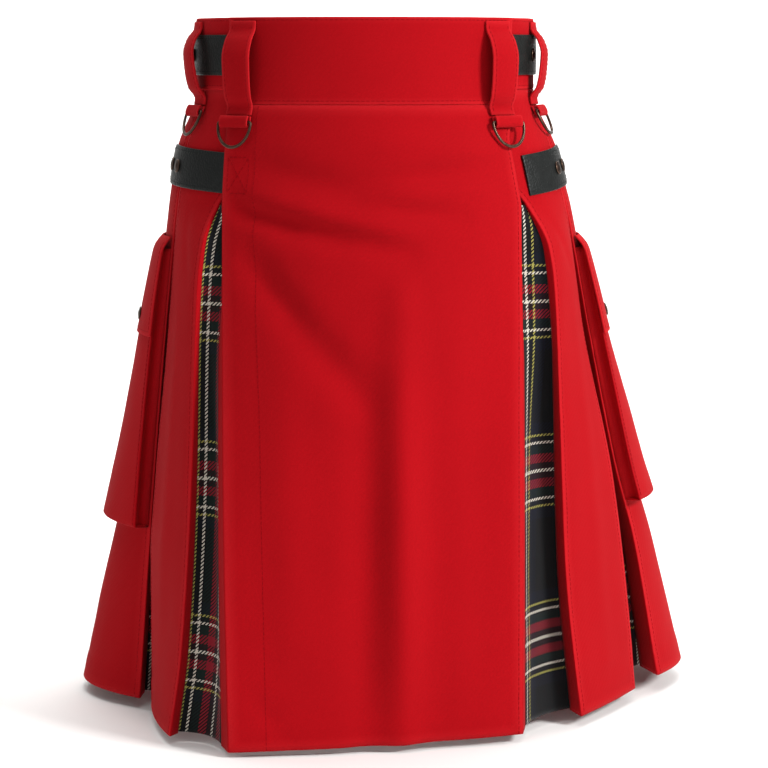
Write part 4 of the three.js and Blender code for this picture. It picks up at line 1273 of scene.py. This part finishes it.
# Camera, light and floor. A light: name, place, size, power and what it is aimed at.
CAMERA = {"place": (0.0155, -2.107, -0.035), "pitch": 7.7, "lens": 112.5}
FLOOR_Z = -0.612
FLOOR = {"half": 2.6, "front": -1.7, "back": 3, "sweep": 1, "wall": 4}
LIGHTS = (
    ("key", (2.0, -1.25, 0.95), 0.6, 74, (0, 0, -0.3)),
    ("fill", (-1.9, -1.7, 0.2), 1.6, 5, (0, 0, -0.3)),
    ("top", (0.1, -0.8, 1.9), 1.0, 15, (0, 0, -0.3)),
    ("sweep", (0.0, 1.2, 2.6), 3.0, 190, (0, 4.2, 0.2)),
)
WORLD = 0.3            # light that it gives
WORLD_SEEN = 0.9       # how bright it looks behind the floor


def add_camera():
    data = bpy.data.cameras.new("photo camera")
    data.lens = CAMERA["lens"]
    data.sensor_width = 36
    camera = bpy.data.objects.new("photo camera", data)
    camera.location = CAMERA["place"]
    camera.rotation_euler = (math.radians(90 - CAMERA["pitch"]), 0, 0)
    bpy.context.scene.collection.objects.link(camera)
    bpy.context.scene.camera = camera


def add_floor():
    """A pale floor that sweeps up behind."""
    bm = bmesh.new()
    front = bm.edges.new([bm.verts.new((x, FLOOR["front"], FLOOR_Z))
                          for x in (-FLOOR["half"], FLOOR["half"])])
    moved = bmesh.ops.extrude_edge_only(bm, edges=[front])["geom"]
    verts = [g for g in moved if isinstance(g, bmesh.types.BMVert)]
    bmesh.ops.translate(bm, vec=(0, FLOOR["back"] - FLOOR["front"], 0), verts=verts)
    back = [g for g in moved if isinstance(g, bmesh.types.BMEdge) and set(g.verts) == set(verts)]
    centre = (0, FLOOR["back"], FLOOR_Z + FLOOR["sweep"])
    sweep = bmesh.ops.spin(bm, geom=back + verts, cent=centre, axis=(1, 0, 0),
                           angle=math.pi / 2, steps=16)
    last = [g for g in sweep["geom_last"] if isinstance(g, bmesh.types.BMEdge)]
    wall = bmesh.ops.extrude_edge_only(bm, edges=last)["geom"]
    bmesh.ops.translate(bm, vec=(0, 0, FLOOR["wall"]),
                        verts=[g for g in wall if isinstance(g, bmesh.types.BMVert)])
    bmesh.ops.recalc_face_normals(bm, faces=bm.faces)
    floor = mesh_object("floor", bm)
    new_material("pale_paper_sweep", linear("#F6F5F3"), Roughness=0.95)
    floor.data.materials.append(bpy.data.materials["pale_paper_sweep"])


def add_lights():
    for name, place, size, power, target in LIGHTS:
        data = bpy.data.lights.new(name, "AREA")
        data.size = size
        data.energy = power
        light = bpy.data.objects.new(name, data)
        light.location = place
        light.rotation_euler = (Vector(target) - Vector(place)).to_track_quat("-Z", "Y").to_euler()
        bpy.context.scene.collection.objects.link(light)
    world = bpy.data.worlds.new("soft studio")
    bpy.context.scene.world = world
    world.use_nodes = True
    background = world.node_tree.nodes["Background"]
    background.inputs[0].default_value = (1, 1, 1, 1)
    rays = add_node(world.node_tree, "ShaderNodeLightPath")
    strength = between(world.node_tree, rays.outputs["Is Camera Ray"], WORLD, WORLD_SEEN)
    plug(world.node_tree, background, {1: strength})


class KILT_OT_aprons(bpy.types.Operator):
    """Outer apron with its stitching, and the under apron"""
    bl_idname = "kilt.aprons"
    bl_label = "Add aprons"

    def execute(self, context):
        add_apron()
        add_under_apron()
        return {"FINISHED"}


class KILT_OT_pleats(bpy.types.Operator):
    """Red pleat panels and the tartan insets between them"""
    bl_idname = "kilt.pleats"
    bl_label = "Add pleats"

    def execute(self, context):
        add_pleat_panels()
        add_insets()
        return {"FINISHED"}


class KILT_OT_waistbands(bpy.types.Operator):
    """The three lengths of folded waistband"""
    bl_idname = "kilt.waistbands"
    bl_label = "Add waistbands"

    def execute(self, context):
        add_waistbands()
        return {"FINISHED"}


class KILT_OT_belt_loops(bpy.types.Operator):
    """Belt loops and the tabs that hold the D-rings"""
    bl_idname = "kilt.belt_loops"
    bl_label = "Add belt loops"

    def execute(self, context):
        add_belt_loops()
        add_ring_tabs()
        return {"FINISHED"}


class KILT_OT_rings(bpy.types.Operator):
    """Four D-rings that hang in their tabs"""
    bl_idname = "kilt.rings"
    bl_label = "Add rings"

    def execute(self, context):
        add_d_rings()
        return {"FINISHED"}


class KILT_OT_straps(bpy.types.Operator):
    """Leather straps with their snaps"""
    bl_idname = "kilt.straps"
    bl_label = "Add straps"

    def execute(self, context):
        add_straps()
        add_strap_snaps()
        return {"FINISHED"}


class KILT_OT_pockets(bpy.types.Operator):
    """Bellows pockets with their flaps and snaps"""
    bl_idname = "kilt.pockets"
    bl_label = "Add pockets"

    def execute(self, context):
        add_pockets()
        add_flaps()
        return {"FINISHED"}


class KILT_OT_stage(bpy.types.Operator):
    """Camera, floor, lights and surroundings"""
    bl_idname = "kilt.stage"
    bl_label = "Add stage"

    def execute(self, context):
        add_camera()
        add_floor()
        add_lights()
        return {"FINISHED"}


OPERATORS = (KILT_OT_aprons, KILT_OT_pleats, KILT_OT_waistbands, KILT_OT_belt_loops,
             KILT_OT_rings, KILT_OT_straps, KILT_OT_pockets, KILT_OT_stage)


class KILT_PT_panel(bpy.types.Panel):
    """Sizes, colours and the buttons that make the kilt's pieces"""
    bl_label = "Utility kilt"
    bl_space_type = "VIEW_3D"
    bl_region_type = "UI"
    bl_category = "Kilt"

    def draw(self, context):
        for group in (context.scene.kilt_sizes, context.scene.kilt_colours):
            for key in group.__annotations__:
                self.layout.prop(group, key)
        for made in OPERATORS:
            self.layout.operator(made.bl_idname)


CLASSES = (KiltSizes, KiltColours, *OPERATORS, KILT_PT_panel)


def register():
    for made in CLASSES:
        bpy.utils.register_class(made)
    bpy.types.Scene.kilt_sizes = PointerProperty(type=KiltSizes)
    bpy.types.Scene.kilt_colours = PointerProperty(type=KiltColours)


def unregister():
    del bpy.types.Scene.kilt_sizes
    del bpy.types.Scene.kilt_colours
    for made in reversed(CLASSES):
        bpy.utils.unregister_class(made)


def main():
    register()
    bpy.context.scene.view_settings.view_transform = "Standard"
    bpy.ops.kilt.aprons()
    bpy.ops.kilt.pleats()
    bpy.ops.kilt.waistbands()
    bpy.ops.kilt.belt_loops()
    bpy.ops.kilt.rings()
    bpy.ops.kilt.straps()
    bpy.ops.kilt.pockets()
    bpy.ops.kilt.stage()


if __name__ == "__main__":
    main()
